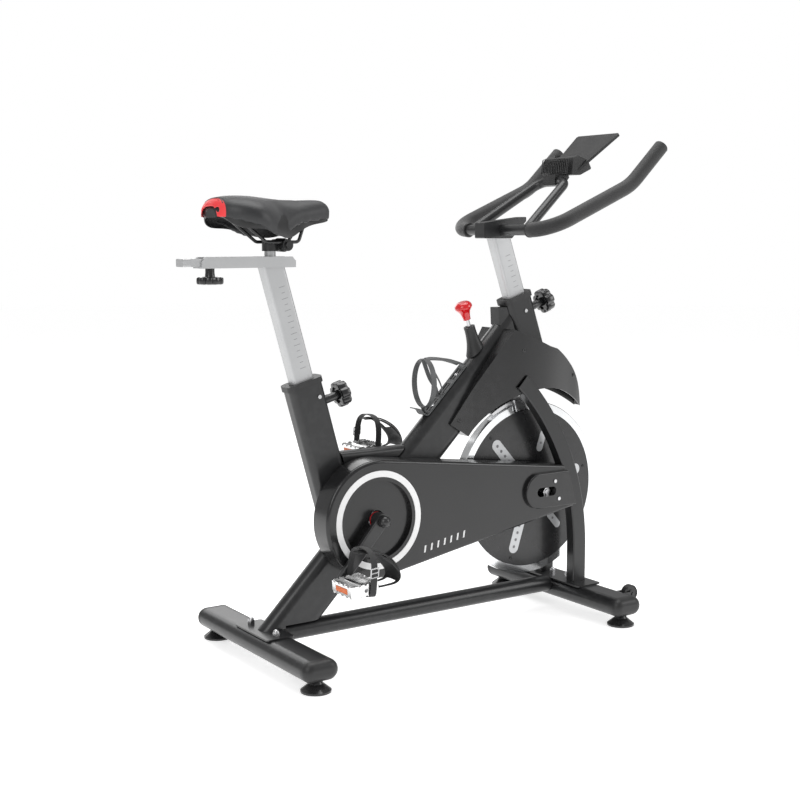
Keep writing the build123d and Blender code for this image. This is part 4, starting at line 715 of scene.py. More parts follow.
# ---------------------------------------------------------------- saddle
@dataclass
class Saddle:
    """Foam saddle under a vinyl cover, hollow underneath, with a red tail."""

    materials: dict[str, bpy.types.Material]
    wall: float = 9 * MM
    draw_in: float = 2.0 * MM
    voxel: float = 4.5 * MM
    most_swell: float = 3.2 * MM
    seam_back: float = 21 * MM
    seam_bow: float = -1.6
    across: int = 40
    along: int = 56

    # (distance from the tail, value) in metres
    half_width = ((0.0, 0.022), (0.004, 0.036), (0.012, 0.052), (0.026, 0.070), (0.045, 0.084), (0.07, 0.092),
                  (0.09, 0.090), (0.115, 0.078), (0.14, 0.058), (0.165, 0.044), (0.195, 0.035), (0.24, 0.026),
                  (0.272, 0.020), (0.284, 0.012))
    crown = ((0.0, 0.054), (0.005, 0.067), (0.014, 0.076), (0.035, 0.082), (0.08, 0.0832), (0.12, 0.080),
             (0.16, 0.0765), (0.2, 0.0765), (0.24, 0.079), (0.262, 0.0775), (0.276, 0.068), (0.284, 0.054))
    skirt = ((0.0, 0.038), (0.02, 0.035), (0.05, 0.028), (0.08, 0.019), (0.105, 0.006), (0.12, 0.0005),
             (0.145, 0.0), (0.158, 0.005), (0.175, 0.018), (0.2, 0.026), (0.24, 0.033), (0.284, 0.038))

    def point(self, run: float, turn: float, inset: float = 0.0) -> Vector:
        """Point of the saddle's surface.

        Args:
            run: distance from the tail.
            turn: angle across the section, zero at the crown.
            inset: how far inside the surface.

        Returns:
            The point in the row frame.
        """
        low = box_of("saddle_pad")[0]
        base, top = curve_value(self.skirt, run), curve_value(self.crown, run) - inset
        edge = math.cos(math.radians(102))
        rise = max((math.cos(turn) - edge) / (1 - edge), 0.0) ** 0.72
        y = (curve_value(self.half_width, run) - inset) * math.sin(turn)
        return Vector((low.x + run, y, low.z + base + (top - base) * rise))

    def skin(self, mesh: bmesh.types.BMesh, inset: float) -> list[list[bmesh.types.BMVert]]:
        """Rows of vertices over the section from tail to nose."""
        length = node_size("saddle_pad").x
        rows = []
        for i in range(self.along + 1):
            share = 0.5 - 0.5 * math.cos(math.pi * i / self.along)
            run = inset + (length - 2 * inset) * share
            rows.append([mesh.verts.new(self.point(run, math.radians(102) * (2 * k / self.across - 1), inset))
                         for k in range(self.across + 1)])
        return rows

    def foam(self) -> bpy.types.Object:
        """Closed shell of foam, as thick as the wall."""
        mesh = bmesh.new()
        outer = self.skin(mesh, self.draw_in)
        inner = self.skin(mesh, self.wall)
        for rows in (outer, inner):
            for a, b in zip(rows, rows[1:]):
                for k in range(self.across):
                    mesh.faces.new((a[k], a[k + 1], b[k + 1], b[k]))
        for a, b, c, d in zip(outer, outer[1:], inner, inner[1:]):
            for k in (0, self.across):
                mesh.faces.new((a[k], b[k], d[k], c[k]))
        for k in range(self.across):
            for row, other in ((outer[0], inner[0]), (outer[-1], inner[-1])):
                mesh.faces.new((row[k], row[k + 1], other[k + 1], other[k]))
        return from_mesh("saddle_cover", mesh)

    def swell(self, piece: bpy.types.Object) -> None:
        """Let the foam press the cover out a little, as stuffed vinyl stands.

        Args:
            piece: the closed foam shell, changed in place.
        """
        scene = bpy.context.scene
        remesh = piece.modifiers.new("even_faces", "REMESH")
        remesh.mode, remesh.voxel_size = "VOXEL", self.voxel
        keep_result(piece)
        before = [v.co.copy() for v in piece.data.vertices]
        cloth = piece.modifiers.new("cover", "CLOTH")
        cloth.settings.use_pressure = True
        cloth.settings.uniform_pressure_force = 4
        cloth.settings.effector_weights.gravity = 0
        for step in range(1, 21):
            scene.frame_set(step)
        keep_result(piece)
        scene.frame_set(1)
        for vertex, start in zip(piece.data.vertices, before):
            move = vertex.co - start
            vertex.co = start + move * min(1.0, self.most_swell / max(move.length, 1e-9))
        smoother = piece.modifiers.new("even_out", "SMOOTH")
        smoother.factor, smoother.iterations = 0.5, 6
        piece.modifiers.new("fine", "SUBSURF").render_levels = 1
        piece.modifiers["fine"].levels = 1
        keep_result(piece)
        for face in piece.data.polygons:
            face.use_smooth = True

    def seam_x(self, y: float) -> float:
        """Where the seam between red and black lies at a distance from the centre."""
        return box_of("saddle_pad")[0].x + self.seam_back + self.seam_bow * y * y

    def seam_points(self, tree: BVHTree, shift: float = 0.0,
                    count: int = 72) -> tuple[list[Vector], list[Vector]]:
        """Points and normals on the cover along the seam line.

        Args:
            tree: tree of the cover's faces.
            shift: how far ahead of the seam.
            count: how many points.

        Returns:
            Points and normals.
        """
        points, normals = [], []
        low, high = box_of("saddle_pad")
        centre_z = low.z + 0.62 * (high.z - low.z)
        for k in range(count + 1):
            turn = math.radians(97) * (2 * k / count - 1)
            y_guess = 0.075 * math.sin(turn)
            start = Vector((self.seam_x(y_guess) + shift, 0, centre_z))
            out = Vector((0, math.sin(turn), math.cos(turn)))
            spot, normal, _, _ = tree.ray_cast(start + out * 0.25, -out)
            if spot is not None:
                spot.x = self.seam_x(spot.y) + shift
                near, normal, _, _ = tree.find_nearest(spot)
                points.append(near)
                normals.append(normal)
        return points, normals

    def trim(self, cover: bpy.types.Object) -> None:
        """Piping on the seam and a row of stitches on each side of it."""
        tree = BVHTree.FromObject(cover, bpy.context.evaluated_depsgraph_get())
        mesh = bmesh.new()
        points, normals = self.seam_points(tree)
        add_tube(mesh, [p + n * 0.2 * MM for p, n in zip(points, normals)], 0.9 * MM, steps=10)
        fit_out(from_mesh("saddle_piping", mesh), "saddle", "saddle_cover", self.materials["stitch_thread"])
        mesh = bmesh.new()
        for shift in (-3.2 * MM, 3.2 * MM):
            points, normals = self.seam_points(tree, shift, count=96)
            for k in range(0, len(points) - 1, 2):
                start, end = points[k] + normals[k] * 0.1 * MM, points[k + 1] + normals[k + 1] * 0.1 * MM
                middle = (start + end) / 2 + normals[k] * 0.35 * MM
                add_tube(mesh, smooth_line([start, middle, end], 3), 0.4 * MM, steps=6)
        fit_out(from_mesh("saddle_stitches", mesh), "saddle", "saddle_cover", self.materials["stitch_thread"])

    def build(self) -> None:
        """Make the whole saddle."""
        cover = self.foam()
        self.swell(cover)
        fit_out(cover, "saddle", "saddle_cover", self.materials["saddle_cover"], "saddle_pad")
        self.trim(cover)


def keep_result(piece: bpy.types.Object) -> None:
    """Replace a piece's mesh by its modifiers' result.

    Args:
        piece: the object; its modifiers are removed.
    """
    depsgraph = bpy.context.evaluated_depsgraph_get()
    result = bpy.data.meshes.new_from_object(piece.evaluated_get(depsgraph))
    piece.modifiers.clear()
    piece.data = result


# ---------------------------------------------------------------- knobs
@dataclass
class HandKnob:
    """Lobed hand knob with a dished face, its stem and its pin."""

    name: str
    node: str
    body: str
    centre: Vector
    axis: Vector
    radius: float
    thick: float
    stem: float
    lobes: int
    materials: dict[str, bpy.types.Material]

    def build(self) -> None:
        """Make the wheel, the stem and the pin."""
        edge = 2.2 * MM
        half = self.thick / 2
        profile = [(0.0, half - 3 * MM), (self.radius * 0.5, half - 3 * MM),
                   (self.radius * 0.62, half - 1 * MM), (self.radius * 0.7, half),
                   (self.radius - 1.6 * edge, half), (self.radius - 0.4 * edge, half - 0.5 * edge),
                   (self.radius, half - 1.6 * edge), (self.radius, -half + 1.6 * edge),
                   (self.radius - 0.4 * edge, -half + 0.5 * edge), (self.radius - 1.6 * edge, -half),
                   (self.radius * 0.66, -half), (self.radius * 0.6, -half + 4 * MM),
                   (10.5 * MM, -half + 4 * MM), (10.0 * MM, -half - 1 * MM),
                   (9.2 * MM, -half - self.stem * 0.5), (9.2 * MM, -half - self.stem),
                   (0.0, -half - self.stem)]
        mesh = bmesh.new()
        add_lathe(mesh, self.centre, self.axis, profile, steps=self.lobes * 14, lobe=(self.lobes, 0.13))
        wheel = from_mesh(f"{self.name}_wheel", mesh)
        fit_out(wheel, self.body, "knob_plastic", self.materials["knob_plastic"], self.node)
        mesh = bmesh.new()
        foot = self.centre - self.axis * (half + self.stem)
        length = self.pin_length()
        add_lathe(mesh, foot - self.axis * length, self.axis,
                  [(0.0, 0.0), (3.8 * MM, 0.0), (5.0 * MM, 1.4 * MM), (5.0 * MM, length + 1 * MM),
                   (0.0, length + 1 * MM)], 24)
        fit_out(from_mesh(f"{self.name}_pin", mesh), self.body, "zinc_steel", self.materials["zinc_steel"])

    def pin_length(self) -> float:
        """Length of the plain pin inside the boss, from the CAD node's far end."""
        low, high = box_of(self.node)
        half, reach = self.thick / 2, []
        for corner in (low, high):
            reach.append(abs((corner - self.centre).dot(self.axis)))
        return max(max(reach) - half - self.stem - 8 * MM, 6 * MM) if self.stem < 0.02 else 11.4 * MM


# ---------------------------------------------------------------- pedals
@dataclass
class Pedal:
    """Toe clip, strap and reflectors of one alloy pedal."""

    side: int
    materials: dict[str, bpy.types.Material]
    pitch: float = math.radians(5)
    path = ((34, -7.2), (60, -8.2), (86, -6.5), (98, 4), (101, 20), (91, 38), (72, 53), (52, 63),
            (30, 68), (9, 69))
    widths = ((0.0, 21), (0.25, 27), (0.42, 31), (0.6, 29), (0.75, 24), (0.88, 17), (1.0, 12))
    bows = ((0.0, 0), (0.3, 4), (0.5, 15), (0.65, 14), (0.85, 7), (1.0, 2))

    def name(self) -> str:
        """Side as a word."""
        return "right" if self.side == RIGHT else "left"

    def at(self, x: float, y: float, z: float) -> Vector:
        """Point given in millimetres ahead, left and up of the pedal's centre."""
        centre = joint_point(f"pedal_{self.name()}_spin")
        ahead = Vector((math.cos(self.pitch), 0, math.sin(self.pitch)))
        up = Vector((-math.sin(self.pitch), 0, math.cos(self.pitch)))
        return centre + (ahead * x + Vector((0, 1, 0)) * y + up * z) * MM

    def toe_clip(self) -> None:
        """Bowed plastic toe cage with two windows."""
        line = smooth_line([Vector((x, 0, z)) for x, z in self.path], 6)
        mesh = bmesh.new()
        across = 16
        rows = []
        for i, point in enumerate(line):
            share = i / (len(line) - 1)
            wide, bow = curve_value(self.widths, share), curve_value(self.bows, share)
            row = []
            for k in range(across + 1):
                v = 2 * k / across - 1
                row.append(mesh.verts.new(self.at(point.x - bow * v * v, wide * v,
                                                  point.z - 0.25 * bow * v * v)))
            rows.append(row)
        for i, (a, b) in enumerate(zip(rows, rows[1:])):
            share = i / (len(line) - 1)
            for k in range(across):
                v = abs(2 * (k + 0.5) / across - 1)
                window = (0.52 < share < 0.82 and 0.2 < v < 0.78) or (0.06 < share < 0.24 and v < 0.6)
                if not window:
                    mesh.faces.new((a[k], a[k + 1], b[k + 1], b[k]))
        clip = from_mesh(f"toe_clip_{self.name()}_cage", mesh)
        solid = clip.modifiers.new("wall", "SOLIDIFY")
        solid.thickness, solid.offset = 2.6 * MM, 0
        clip.modifiers.new("round", "SUBSURF").render_levels = 1
        clip.modifiers["round"].levels = 1
        keep_result(clip)
        for face in clip.data.polygons:
            face.use_smooth = True
        fit_out(clip, f"pedal_{self.name()}", "black_plastic", self.materials["black_plastic"],
                f"toe_clip_{self.name()}")
        mesh = bmesh.new()
        for y in (-14, 14):
            add_lathe(mesh, self.at(36.5, y, -1), self.at(1, 0, 0) - self.at(0, 0, 0),
                      [(0, -3 * MM), (3.4 * MM, -3 * MM), (3.4 * MM, 0), (2.2 * MM, 1.2 * MM),
                       (0, 1.2 * MM)], 20)
        fit_out(from_mesh(f"toe_clip_{self.name()}_screws", mesh), f"pedal_{self.name()}", "zinc_steel",
                self.materials["zinc_steel"])

    def strap(self) -> None:
        """Webbing strap round the pedal and over the toe cage, with its buckle."""
        half = [(0, -16.6), (30, -16.6), (42, -14), (44.6, -4), (44.8, 18), (43.5, 42), (37, 61),
                (22, 72), (0, 75)]
        ring = half + [(-y, z) for y, z in reversed(half[1:-1])]
        lean = 0.16
        points = smooth_line([self.at(16 + lean * (z - 5), y, z) for y, z in ring], 6, closed=True)
        middle = self.at(16 + lean * 25, 0, 29)
        normals = [(p - middle).normalized() for p in points]
        mesh = bmesh.new()
        add_strip(mesh, points, normals, 15 * MM, 1.7 * MM, closed=True)
        fit_out(from_mesh(f"toe_strap_{self.name()}", mesh), f"pedal_{self.name()}", "black_plastic",
                self.materials["strap_webbing"])
        mesh = bmesh.new()
        y = self.side * 46.6
        for z in (24, 33, 42):
            add_tube(mesh, [self.at(16 + lean * (z - 5) + x, y, z) for x in (-9, 9)], 1.3 * MM, 8)
        for x in (-9, 9):
            add_tube(mesh, [self.at(16 + lean * (z - 5) + x, y, z) for z in (24, 33, 42)], 1.3 * MM, 8,
                     up=Vector((1, 0, 0)))
        fit_out(from_mesh(f"strap_buckle_{self.name()}", mesh), f"pedal_{self.name()}", "zinc_steel",
                self.materials["zinc_steel"])

    def reflectors(self) -> None:
        """Amber lens with prism ribs, in the rear end of the cage."""
        mesh = bmesh.new()
        outline = [self.at(-32.6, y, z) for y, z in ((-21, -5.6), (21, -5.6), (21, 5.6), (-21, 5.6))]
        lift = (self.at(-1, 0, 0) - self.at(0, 0, 0)).normalized() * 1.2 * MM
        add_slab(mesh, outline, lift, 0.4 * MM)
        for k in range(14):
            y = -19.5 + 3 * k
            add_tube(mesh, [self.at(-33.8, y, -4.6), self.at(-33.8, y, 4.6)], 0.7 * MM, 8,
                     up=Vector((1, 0, 0)))
        fit_out(from_mesh(f"pedal_reflector_{self.name()}", mesh), f"pedal_{self.name()}", "pedal_alloy",
                self.materials["reflector_amber"])

    def build(self) -> None:
        """Make everything on this pedal."""
        self.toe_clip()
        self.strap()
        self.reflectors()


# ---------------------------------------------------------------- flywheel
@dataclass
class FlywheelTrim:
    """Silver badges and screws on both faces of the flywheel."""

    materials: dict[str, bpy.types.Material]
    inner: float = 60 * MM
    outer: float = 159 * MM
    half_width: float = 13.5 * MM
    first_angle: float = 132.0
    screw_reach: float = 171 * MM

    def pill(self, face_y: float, angle: float, start: float, end: float, half: float) -> list[Vector]:
        """Outline of a rounded bar that lies along a radius.

        Args:
            face_y: height of the face.
            angle: direction of the radius in degrees.
            start: inner end.
            end: outer end.
            half: half width.

        Returns:
            Points of the outline.
        """
        centre = joint_point("flywheel_spin")
        turn = math.radians(angle)
        run = Vector((math.cos(turn), 0, math.sin(turn)))
        side_way = Vector((-math.sin(turn), 0, math.cos(turn)))
        points = []
        for reach, base in ((end - half, 0), (start + half, 180)):
            for k in range(13):
                a = math.radians(base - 90 + 15 * k)
                points.append(centre + run * (reach + half * math.cos(a)) + side_way * half * math.sin(a))
        for p in points:
            p.y = face_y
        return points

    def build(self) -> None:
        """Make the badges, their dark bands and the screws."""
        low, high = box_of("flywheel_discs")
        centre = joint_point("flywheel_spin")
        badges, bands, screws = bmesh.new(), bmesh.new(), bmesh.new()
        for side, face in ((RIGHT, low.y), (LEFT, high.y)):
            out = Vector((0, side, 0))
            low_face, top_face = face + side * 0.05 * MM, face + side * 0.5 * MM
            for k in range(3):
                angle = self.first_angle + 120 * k
                add_slab(badges, self.pill(low_face, angle, self.inner, self.outer, self.half_width),
                         out * 0.5 * MM, 0.15 * MM)
                add_slab(badges, self.pill(low_face, angle - 60, 88 * MM, 140 * MM, 9 * MM),
                         out * 0.5 * MM, 0.15 * MM)
                add_slab(bands, self.pill(top_face, angle - 60, 106 * MM, 112 * MM, 2.9 * MM),
                         out * 0.3 * MM)
                for step in range(5):
                    reach = (72 + 17 * step) * MM
                    add_slab(bands, self.pill(top_face, angle, reach, reach + 7 * MM, 3.4 * MM),
                             out * 0.3 * MM)
                turn = math.radians(angle)
                spot = centre + Vector((math.cos(turn), 0, math.sin(turn))) * self.screw_reach
                spot.y = face
                add_lathe(screws, spot, out,
                          [(0, 0.05 * MM), (3.6 * MM, 0.05 * MM), (3.6 * MM, 1.2 * MM), (2.6 * MM, 2.0 * MM),
                           (1.6 * MM, 2.0 * MM), (1.4 * MM, 1.0 * MM), (0, 1.0 * MM)], 24)
        for name, mesh, finish in (("flywheel_badges", badges, "decal_silver"),
                                   ("flywheel_badge_marks", bands, "scale_ink"),
                                   ("flywheel_screws", screws, "crank_paint")):
            fit_out(from_mesh(name, mesh), "flywheel", "disc_paint", self.materials[finish])


# ---------------------------------------------------------------- bottle cage
@dataclass
class BottleCage:
    """Looped plastic straps that hold a bottle against the main beam."""

    materials: dict[str, bpy.types.Material]
    band: float = 14 * MM
    thick: float = 2.4 * MM

    def build(self) -> None:
        """Make the plate, the ring, the straps and the lower hook."""
        low, high = box_of("bottle_cage")
        ring_x = low.x + 37.5 * MM
        radius_y = node_size("bottle_cage").y / 2 - self.thick
        radius_z = radius_y * math.sqrt(2)
        ring_z = high.z - radius_z - self.thick
        mesh = bmesh.new()
        turns = [2 * math.pi * k / 48 for k in range(48)]
        points = [Vector((ring_x, radius_y * math.sin(a), ring_z + radius_z * math.cos(a))) for a in turns]
        normals = [Vector((0, math.sin(a) / radius_y, math.cos(a) / radius_z)).normalized() for a in turns]
        add_strip(mesh, points, normals, self.band, self.thick, closed=True)
        top = Vector((ring_x, 0, high.z - self.thick))
        end = Vector((high.x - 3 * MM, 0, high.z - 20 * MM))
        for side in (RIGHT, LEFT):
            way = Vector((0, side, 0)) * MM
            line = smooth_line([top + way * 2, top + Vector((0.022, 0, 0.000)) + way * 11,
                                top + Vector((0.055, 0, -0.004)) + way * 15,
                                top + Vector((0.085, 0, -0.012)) + way * 12,
                                end + way * 11], 6)
            add_strip(mesh, line, [Vector((0.15, side * 0.55, 1.0))] * len(line), 11 * MM, self.thick)
            line = smooth_line([top + way * 4, top + Vector((0.010, 0, -0.016)) + way * 11,
                                top + Vector((0.026, 0, -0.045)) + way * 16,
                                top + Vector((0.038, 0, -0.066)) + way * 12,
                                top + Vector((0.040, 0, -0.084)) + way * 9], 6)
            add_strip(mesh, line, [Vector((0.8, side * 0.7, 0.4))] * len(line), 10 * MM, self.thick)
        foot = Vector((ring_x, 0, ring_z - radius_z))
        add_tube(mesh, [foot + Vector((-0.004, 0, 0.0005)), foot + Vector((0.002, 0, -0.012))], 8 * MM, 16,
                 flat=0.5, up=Vector((1, 0, 0)))
        along = Vector((1, 0, 1)).normalized()
        out = Vector((-1, 0, 1)).normalized()
        start = Vector((high.x - 100 * MM, 0, high.z - 126.5 * MM))
        for side in (RIGHT, LEFT):
            way = Vector((0, side * 10.5, 0)) * MM
            add_strip(mesh, [start + way, start + way + along * 0.147], [out, out], 7 * MM, 3.4 * MM)
        for run in (0.004, 0.052, 0.098, 0.143):
            spot = start + along * run
            add_strip(mesh, [spot + Vector((0, y, 0)) * MM for y in (-9, 9)], [out, out], 12 * MM, 3.2 * MM)
        hook = smooth_line([start + along * 0.002 + out * 0.002, start - along * 0.004 + out * 0.010,
                            start - along * 0.003 + out * 0.024, start - along * 0.010 + out * 0.037], 6)
        add_strip(mesh, hook, [-along] * len(hook), 26 * MM, self.thick)
        fit_out(from_mesh("bottle_cage_straps", mesh), "frame", "cage_plastic",
                self.materials["cage_plastic"], "bottle_cage")
        screws = bmesh.new()
        for run in (0.028, 0.12):
            add_lathe(screws, start + along * run, out,
                      [(0, 0.6 * MM), (4.6 * MM, 0.6 * MM), (4.6 * MM, 2 * MM), (3 * MM, 3.4 * MM),
                       (0, 3.6 * MM)], 20)
        fit_out(from_mesh("bottle_cage_screws", screws), "frame", "zinc_steel", self.materials["zinc_steel"])


# ---------------------------------------------------------------- handlebar
@dataclass
class HandlebarTrim:
    """Ribs and thin frame of the tablet holder, grip collars and grip ends."""

    materials: dict[str, bpy.types.Material]
    ribs: int = 15

    def tablet_ribs(self) -> None:
        """Bowed ribs on the rear face of the holder, inside a thin frame."""
        high = box_of("tablet_holder")[1]
        foot = Vector((high.x - 138.9 * MM, 0, high.z - 98.4 * MM))
        rise = Vector((5, 0, 40)) * MM
        out = Vector((-40, 0, 5)).normalized()
        mesh = bmesh.new()
        for k in range(self.ribs):
            y = (-41 + 82 * k / (self.ribs - 1)) * MM
            bow = 4 * MM * math.sin(math.pi * k / (self.ribs - 1))
            line = [foot + rise * t + Vector((0, y + bow * math.sin(math.pi * t), 0)) - out * 0.4 * MM
                    for t in (0.14, 0.32, 0.5, 0.68, 0.86)]
            add_tube(mesh, smooth_line(line, 3), 1.7 * MM, 8, flat=0.9, up=out)
        corners = [foot + rise * t + Vector((0, y, 0)) * MM
                   for t, y in ((0.07, -46), (0.07, 46), (0.93, 46), (0.93, -46))]
        frame_line = []
        for a, b in zip(corners, corners[1:] + corners[:1]):
            frame_line += [a.lerp(b, t) for t in (0.04, 0.5, 0.96)]
        add_tube(mesh, frame_line, 1.1 * MM, 8, up=out, closed=True)
        fit_out(from_mesh("tablet_holder_ribs", mesh), "bar_column", "black_plastic",
                self.materials["black_plastic"])

    def grip_ends(self) -> None:
        """Domed plugs at the tips and moulded collars where the grips begin."""
        high = box_of("grips")[1]
        ahead = Vector((92, 0, 88)).normalized()
        mesh = bmesh.new()
        radius = 16.4 * MM
        for side in (RIGHT, LEFT):
            tip = Vector((high.x - radius * ahead.z, side * (high.y - radius), high.z - radius * ahead.x))
            add_lathe(mesh, tip, ahead,
                      [(0, -4 * MM), (radius * 0.9, -4 * MM), (radius, -2 * MM), (radius, 0.4 * MM),
                       (radius * 0.93, 2.2 * MM), (radius * 0.6, 3.6 * MM), (radius * 0.2, 3.9 * MM),
                       (0, 3.9 * MM)], 36)
            corner = box_of("handlebar_tube")[0]
            start = Vector((corner.x + 12.4 * MM, side * 112 * MM, corner.z + 12.4 * MM))
            add_lathe(mesh, start, Vector((0, side, 0)),
                      [(12.6 * MM, -3.5 * MM), (15.6 * MM, -3 * MM), (17.3 * MM, -1 * MM),
                       (17.3 * MM, 2 * MM),
                       (16.6 * MM, 3 * MM), (12.6 * MM, 3 * MM)], 36)
        fit_out(from_mesh("grip_ends", mesh), "bar_column", "grip_foam", self.materials["black_plastic"])

    def build(self) -> None:
        """Make all trim of the handlebar."""
        self.tablet_ribs()
        self.grip_ends()


# ---------------------------------------------------------------- small trim on the frame
@dataclass
class FrameTrim:
    """Printed bars on the cover, post scales, crank seal and panel screws."""

    materials: dict[str, bpy.types.Material]

    def cover_bars(self) -> None:
        """Row of short slanted bars printed on the belt cover."""
        face = box_of("cover_trim_ring")[1].y - 0.05 * MM
        centre = node_centre("cover_trim_ring")
        start = Vector((centre.x + 116 * MM, face, centre.z - 86 * MM))
        step = Vector((17.5, 0, 3.3)) * MM
        mesh = bmesh.new()
        for k in range(7):
            foot = start + step * k
            outline = [foot + Vector((x, 0, z)) * MM
                       for x, z in ((0, 0), (4.2, 0.8), (6.4, 16.2), (2.2, 15.4))]
            add_slab(mesh, outline, Vector((0, -0.35, 0)) * MM)
        fit_out(from_mesh("cover_bars", mesh), "frame", "white_trim", self.materials["print_white"])

    def post_scale(self, name: str, body: str, node: str, down: Vector, tilt: float, count: int) -> None:
        """Graduation marks on both sides of a post.

        Args:
            name: the piece's name.
            body: the post's body.
            node: the post's CAD node.
            down: point on the post's centreline at its top mark.
            tilt: the post's lean in degrees.
            count: how many marks.
        """
        lean = math.radians(tilt)
        along = Vector((math.sin(lean), 0, -math.cos(lean)))
        wide = Vector((math.cos(lean), 0, math.sin(lean)))
        mesh = bmesh.new()
        for side in (RIGHT, LEFT):
            y = Vector((0, side * 15.02, 0)) * MM
            for k in range(count):
                reach = 7 if k % 2 == 0 else 4
                spot = down + along * (12.5 * MM * k) + y + wide * 2 * MM
                outline = [spot + wide * x * MM + along * z * MM
                           for x, z in ((-reach, -0.5), (reach, -0.5), (reach, 0.5), (-reach, 0.5))]
                add_slab(mesh, outline, Vector((0, side * 0.12, 0)) * MM)
        fit_out(from_mesh(name, mesh), body, "post_silver", self.materials["scale_ink"])
        LOG.info("scale on %s", node)

    def crank_seal(self) -> None:
        """Red seal ring between the cover's recess and the crank."""
        centre = joint_point("crank_spin")
        floor = box_of("belt_cover_outer")[0].y + 21 * MM
        mesh = bmesh.new()
        add_lathe(mesh, Vector((centre.x, floor, centre.z)), Vector((0, -1, 0)),
                  [(10.5 * MM, 0.1 * MM), (17 * MM, 0.1 * MM), (17 * MM, 1.2 * MM), (15 * MM, 2.4 * MM),
                   (10.5 * MM, 2.4 * MM), (10.5 * MM, 0.1 * MM)], 48)
        fit_out(from_mesh("crank_seal", mesh), "frame", "brake_red", self.materials["brake_red"])

    def panel_screws(self) -> None:
        """Dark screws that hold the shroud's halves."""
        low, high = box_of("shroud_right")
        tree = BVHTree.FromObject(frame["nodes"]["shroud_right"], bpy.context.evaluated_depsgraph_get())
        mesh = bmesh.new()
        for x, z in ((low.x + 22 * MM, low.z + 38 * MM), (high.x - 35 * MM, high.z - 118 * MM),
                     (low.x + 178 * MM, high.z - 48 * MM)):
            spot, normal, _, _ = tree.ray_cast(Vector((x, -0.3, z)), Vector((0, 1, 0)))
            if spot is None:
                continue
            for side in (RIGHT, LEFT):
                flip = Vector((1, -side, 1))
                place = Vector(a * b for a, b in zip(spot, flip))
                out = Vector(a * b for a, b in zip(normal, flip))
                add_lathe(mesh, place, out, [(0, -0.5 * MM), (4.4 * MM, -0.5 * MM), (4.4 * MM, 0.9 * MM),
                                             (3.4 * MM, 1.9 * MM), (1.9 * MM, 2.0 * MM), (1.7 * MM, 0.8 * MM),
                                             (0, 0.8 * MM)], 24)
        fit_out(from_mesh("shroud_screws", mesh), "frame", "zinc_steel", self.materials["crank_paint"])

    def build(self) -> None:
        """Make all small trim."""
        self.cover_bars()
        self.post_scale("seat_scale", "seat_column", "seat_post",
                        Vector((-347.6 * MM, 0, 785 * MM)), 15.9, 15)
        self.post_scale("handlebar_scale", "bar_column", "handlebar_post",
                        Vector((238.5 * MM, 0, 843 * MM)), 19.2, 7)
        self.crank_seal()
        self.panel_screws()


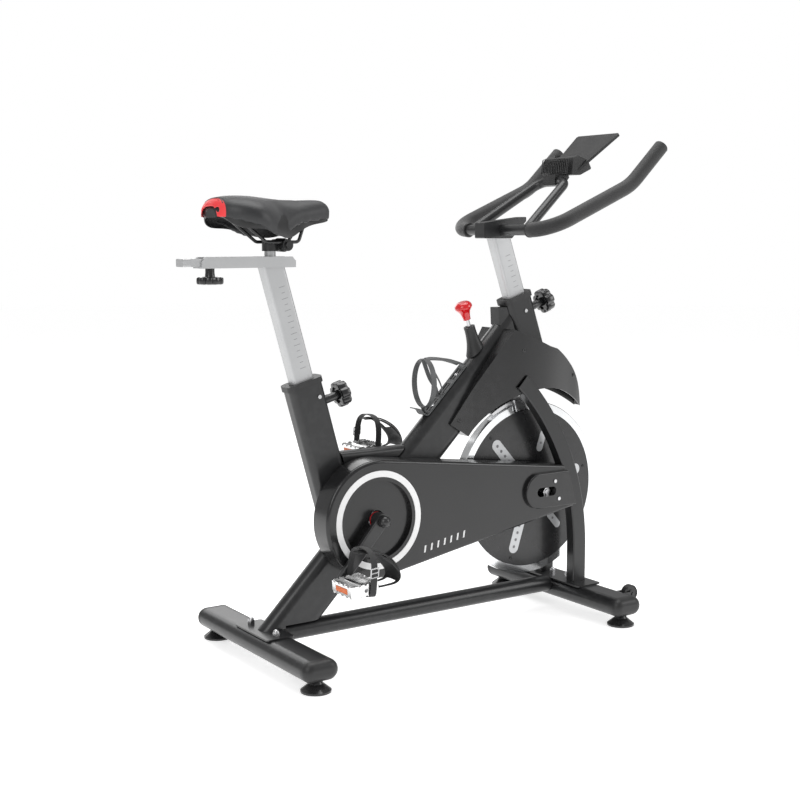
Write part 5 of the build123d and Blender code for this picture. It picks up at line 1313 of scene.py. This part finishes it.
# ---------------------------------------------------------------- studio
@dataclass
class Studio:
    """Floor, lights and camera."""

    camera_at: tuple[float, float, float] = (-1.6774, -2.42081, 0.8955)
    heading: float = 56.01
    pitch: float = -7.12
    lens: float = 60.39
    floor_radius: float = 14.0
    room_light: float = 0.42

    def floor(self) -> None:
        """Pale level floor under the bike."""
        mesh = bmesh.new()
        bmesh.ops.create_circle(mesh, cap_ends=True, radius=self.floor_radius, segments=96)
        floor = from_mesh("studio_floor", mesh, smooth=False)
        material = bpy.data.materials.new("pale_floor")
        material.use_nodes = True
        shader = material.node_tree.nodes["Principled BSDF"]
        shader.inputs["Base Color"].default_value = (0.93, 0.93, 0.93, 1)
        shader.inputs["Roughness"].default_value = 0.35
        shader.inputs["Specular IOR Level"].default_value = 0.25
        shader.inputs["Emission Color"].default_value = (1, 1, 1, 1)
        shader.inputs["Emission Strength"].default_value = 0.6
        floor.data.materials.append(material)
        floor.location.z = -0.0005

    def world(self) -> None:
        """White surroundings."""
        world = bpy.data.worlds.new("white_room")
        world.use_nodes = True
        graph = Graph(world.node_tree)
        shade = world.node_tree.nodes["Background"]
        shade.inputs["Color"].default_value = (1.0, 1.0, 1.0, 1)
        seen = graph.node("ShaderNodeLightPath").outputs["Is Camera Ray"]
        graph.link(graph.math("MULTIPLY_ADD", seen, 1.0 - self.room_light, self.room_light),
                   shade.inputs["Strength"])
        bpy.context.scene.world = world
        bpy.context.scene.view_settings.view_transform = "Standard"

    def light(self, name: str, place: tuple[float, float, float], size: tuple[float, float],
              power: float, aim: tuple[float, float, float] = (0.0, 0.0, 0.5)) -> None:
        """Soft rectangular light.

        Args:
            name: the light's name.
            place: where it stands.
            size: its width and height.
            power: its power in watts.
            aim: the point that it faces.
        """
        data = bpy.data.lights.new(name, "AREA")
        data.shape = "RECTANGLE"
        data.size, data.size_y = size
        data.energy = power
        lamp = bpy.data.objects.new(name, data)
        lamp.location = place
        lamp.rotation_mode = "QUATERNION"
        lamp.rotation_quaternion = (Vector(aim) - Vector(place)).to_track_quat("-Z", "Y")
        bpy.context.scene.collection.objects.link(lamp)

    def lights(self) -> None:
        """Overhead, side and rim lights."""
        self.light("overhead", (0.2, 0.3, 3.2), (2.6, 2.0), 55)
        self.light("behind_right", (-2.4, -1.2, 2.0), (1.2, 1.8), 22)
        self.light("front_right", (2.4, -2.2, 1.8), (1.4, 1.8), 26)
        self.light("far_side", (0.3, 3.0, 1.6), (2.4, 1.6), 22)

    def camera(self) -> None:
        """Camera behind the rider's right shoulder."""
        data = bpy.data.cameras.new("studio_camera")
        data.lens, data.sensor_width = self.lens, 36.0
        data.clip_end = 60.0
        camera = bpy.data.objects.new("studio_camera", data)
        camera.location = self.camera_at
        camera.rotation_euler = (math.radians(90 + self.pitch), 0, math.radians(self.heading - 90))
        bpy.context.scene.collection.objects.link(camera)
        bpy.context.scene.camera = camera

    def build(self) -> None:
        """Set up the whole studio."""
        self.world()
        self.floor()
        self.lights()
        self.camera()


def main() -> None:
    """Build the looks in order and report each piece."""
    logging.basicConfig(level=logging.INFO, format="%(name)s: %(message)s")
    materials = build_materials()
    dress_frame(materials)
    Saddle(materials).build()
    for name, node, body, radius, thick, stem, lobes in (
            ("seat_knob", "seat_height_knob", "seat_pull_knob", 28 * MM, 22 * MM, 21.6 * MM, 7),
            ("handlebar_knob", "handlebar_height_knob", "bar_pull_knob", 28 * MM, 22 * MM, 21.6 * MM, 7)):
        tilt = math.radians(15.9 if name == "seat_knob" else 19.2)
        axis = Vector((math.cos(tilt), 0, math.sin(tilt)))
        low, high = box_of(node)
        reach = radius * axis.z + thick / 2 * axis.x
        centre = Vector((high.x - reach, 0, high.z - radius * axis.x - thick / 2 * axis.z))
        HandKnob(name, node, body, centre, axis, radius, thick, stem, lobes, materials).build()
    low, high = box_of("slider_knob")
    centre = Vector(((low.x + high.x) / 2, 0, low.z + 7.5 * MM))
    HandKnob("slider_turn", "slider_knob", "slider_turn_knob", centre, Vector((0, 0, -1)),
             26.9 * MM, 15 * MM, 16.5 * MM, 9, materials).build()
    for side in (RIGHT, LEFT):
        Pedal(side, materials).build()
    FlywheelTrim(materials).build()
    BottleCage(materials).build()
    HandlebarTrim(materials).build()
    FrameTrim(materials).build()
    Studio().build()


if __name__ == "__main__":
    main()
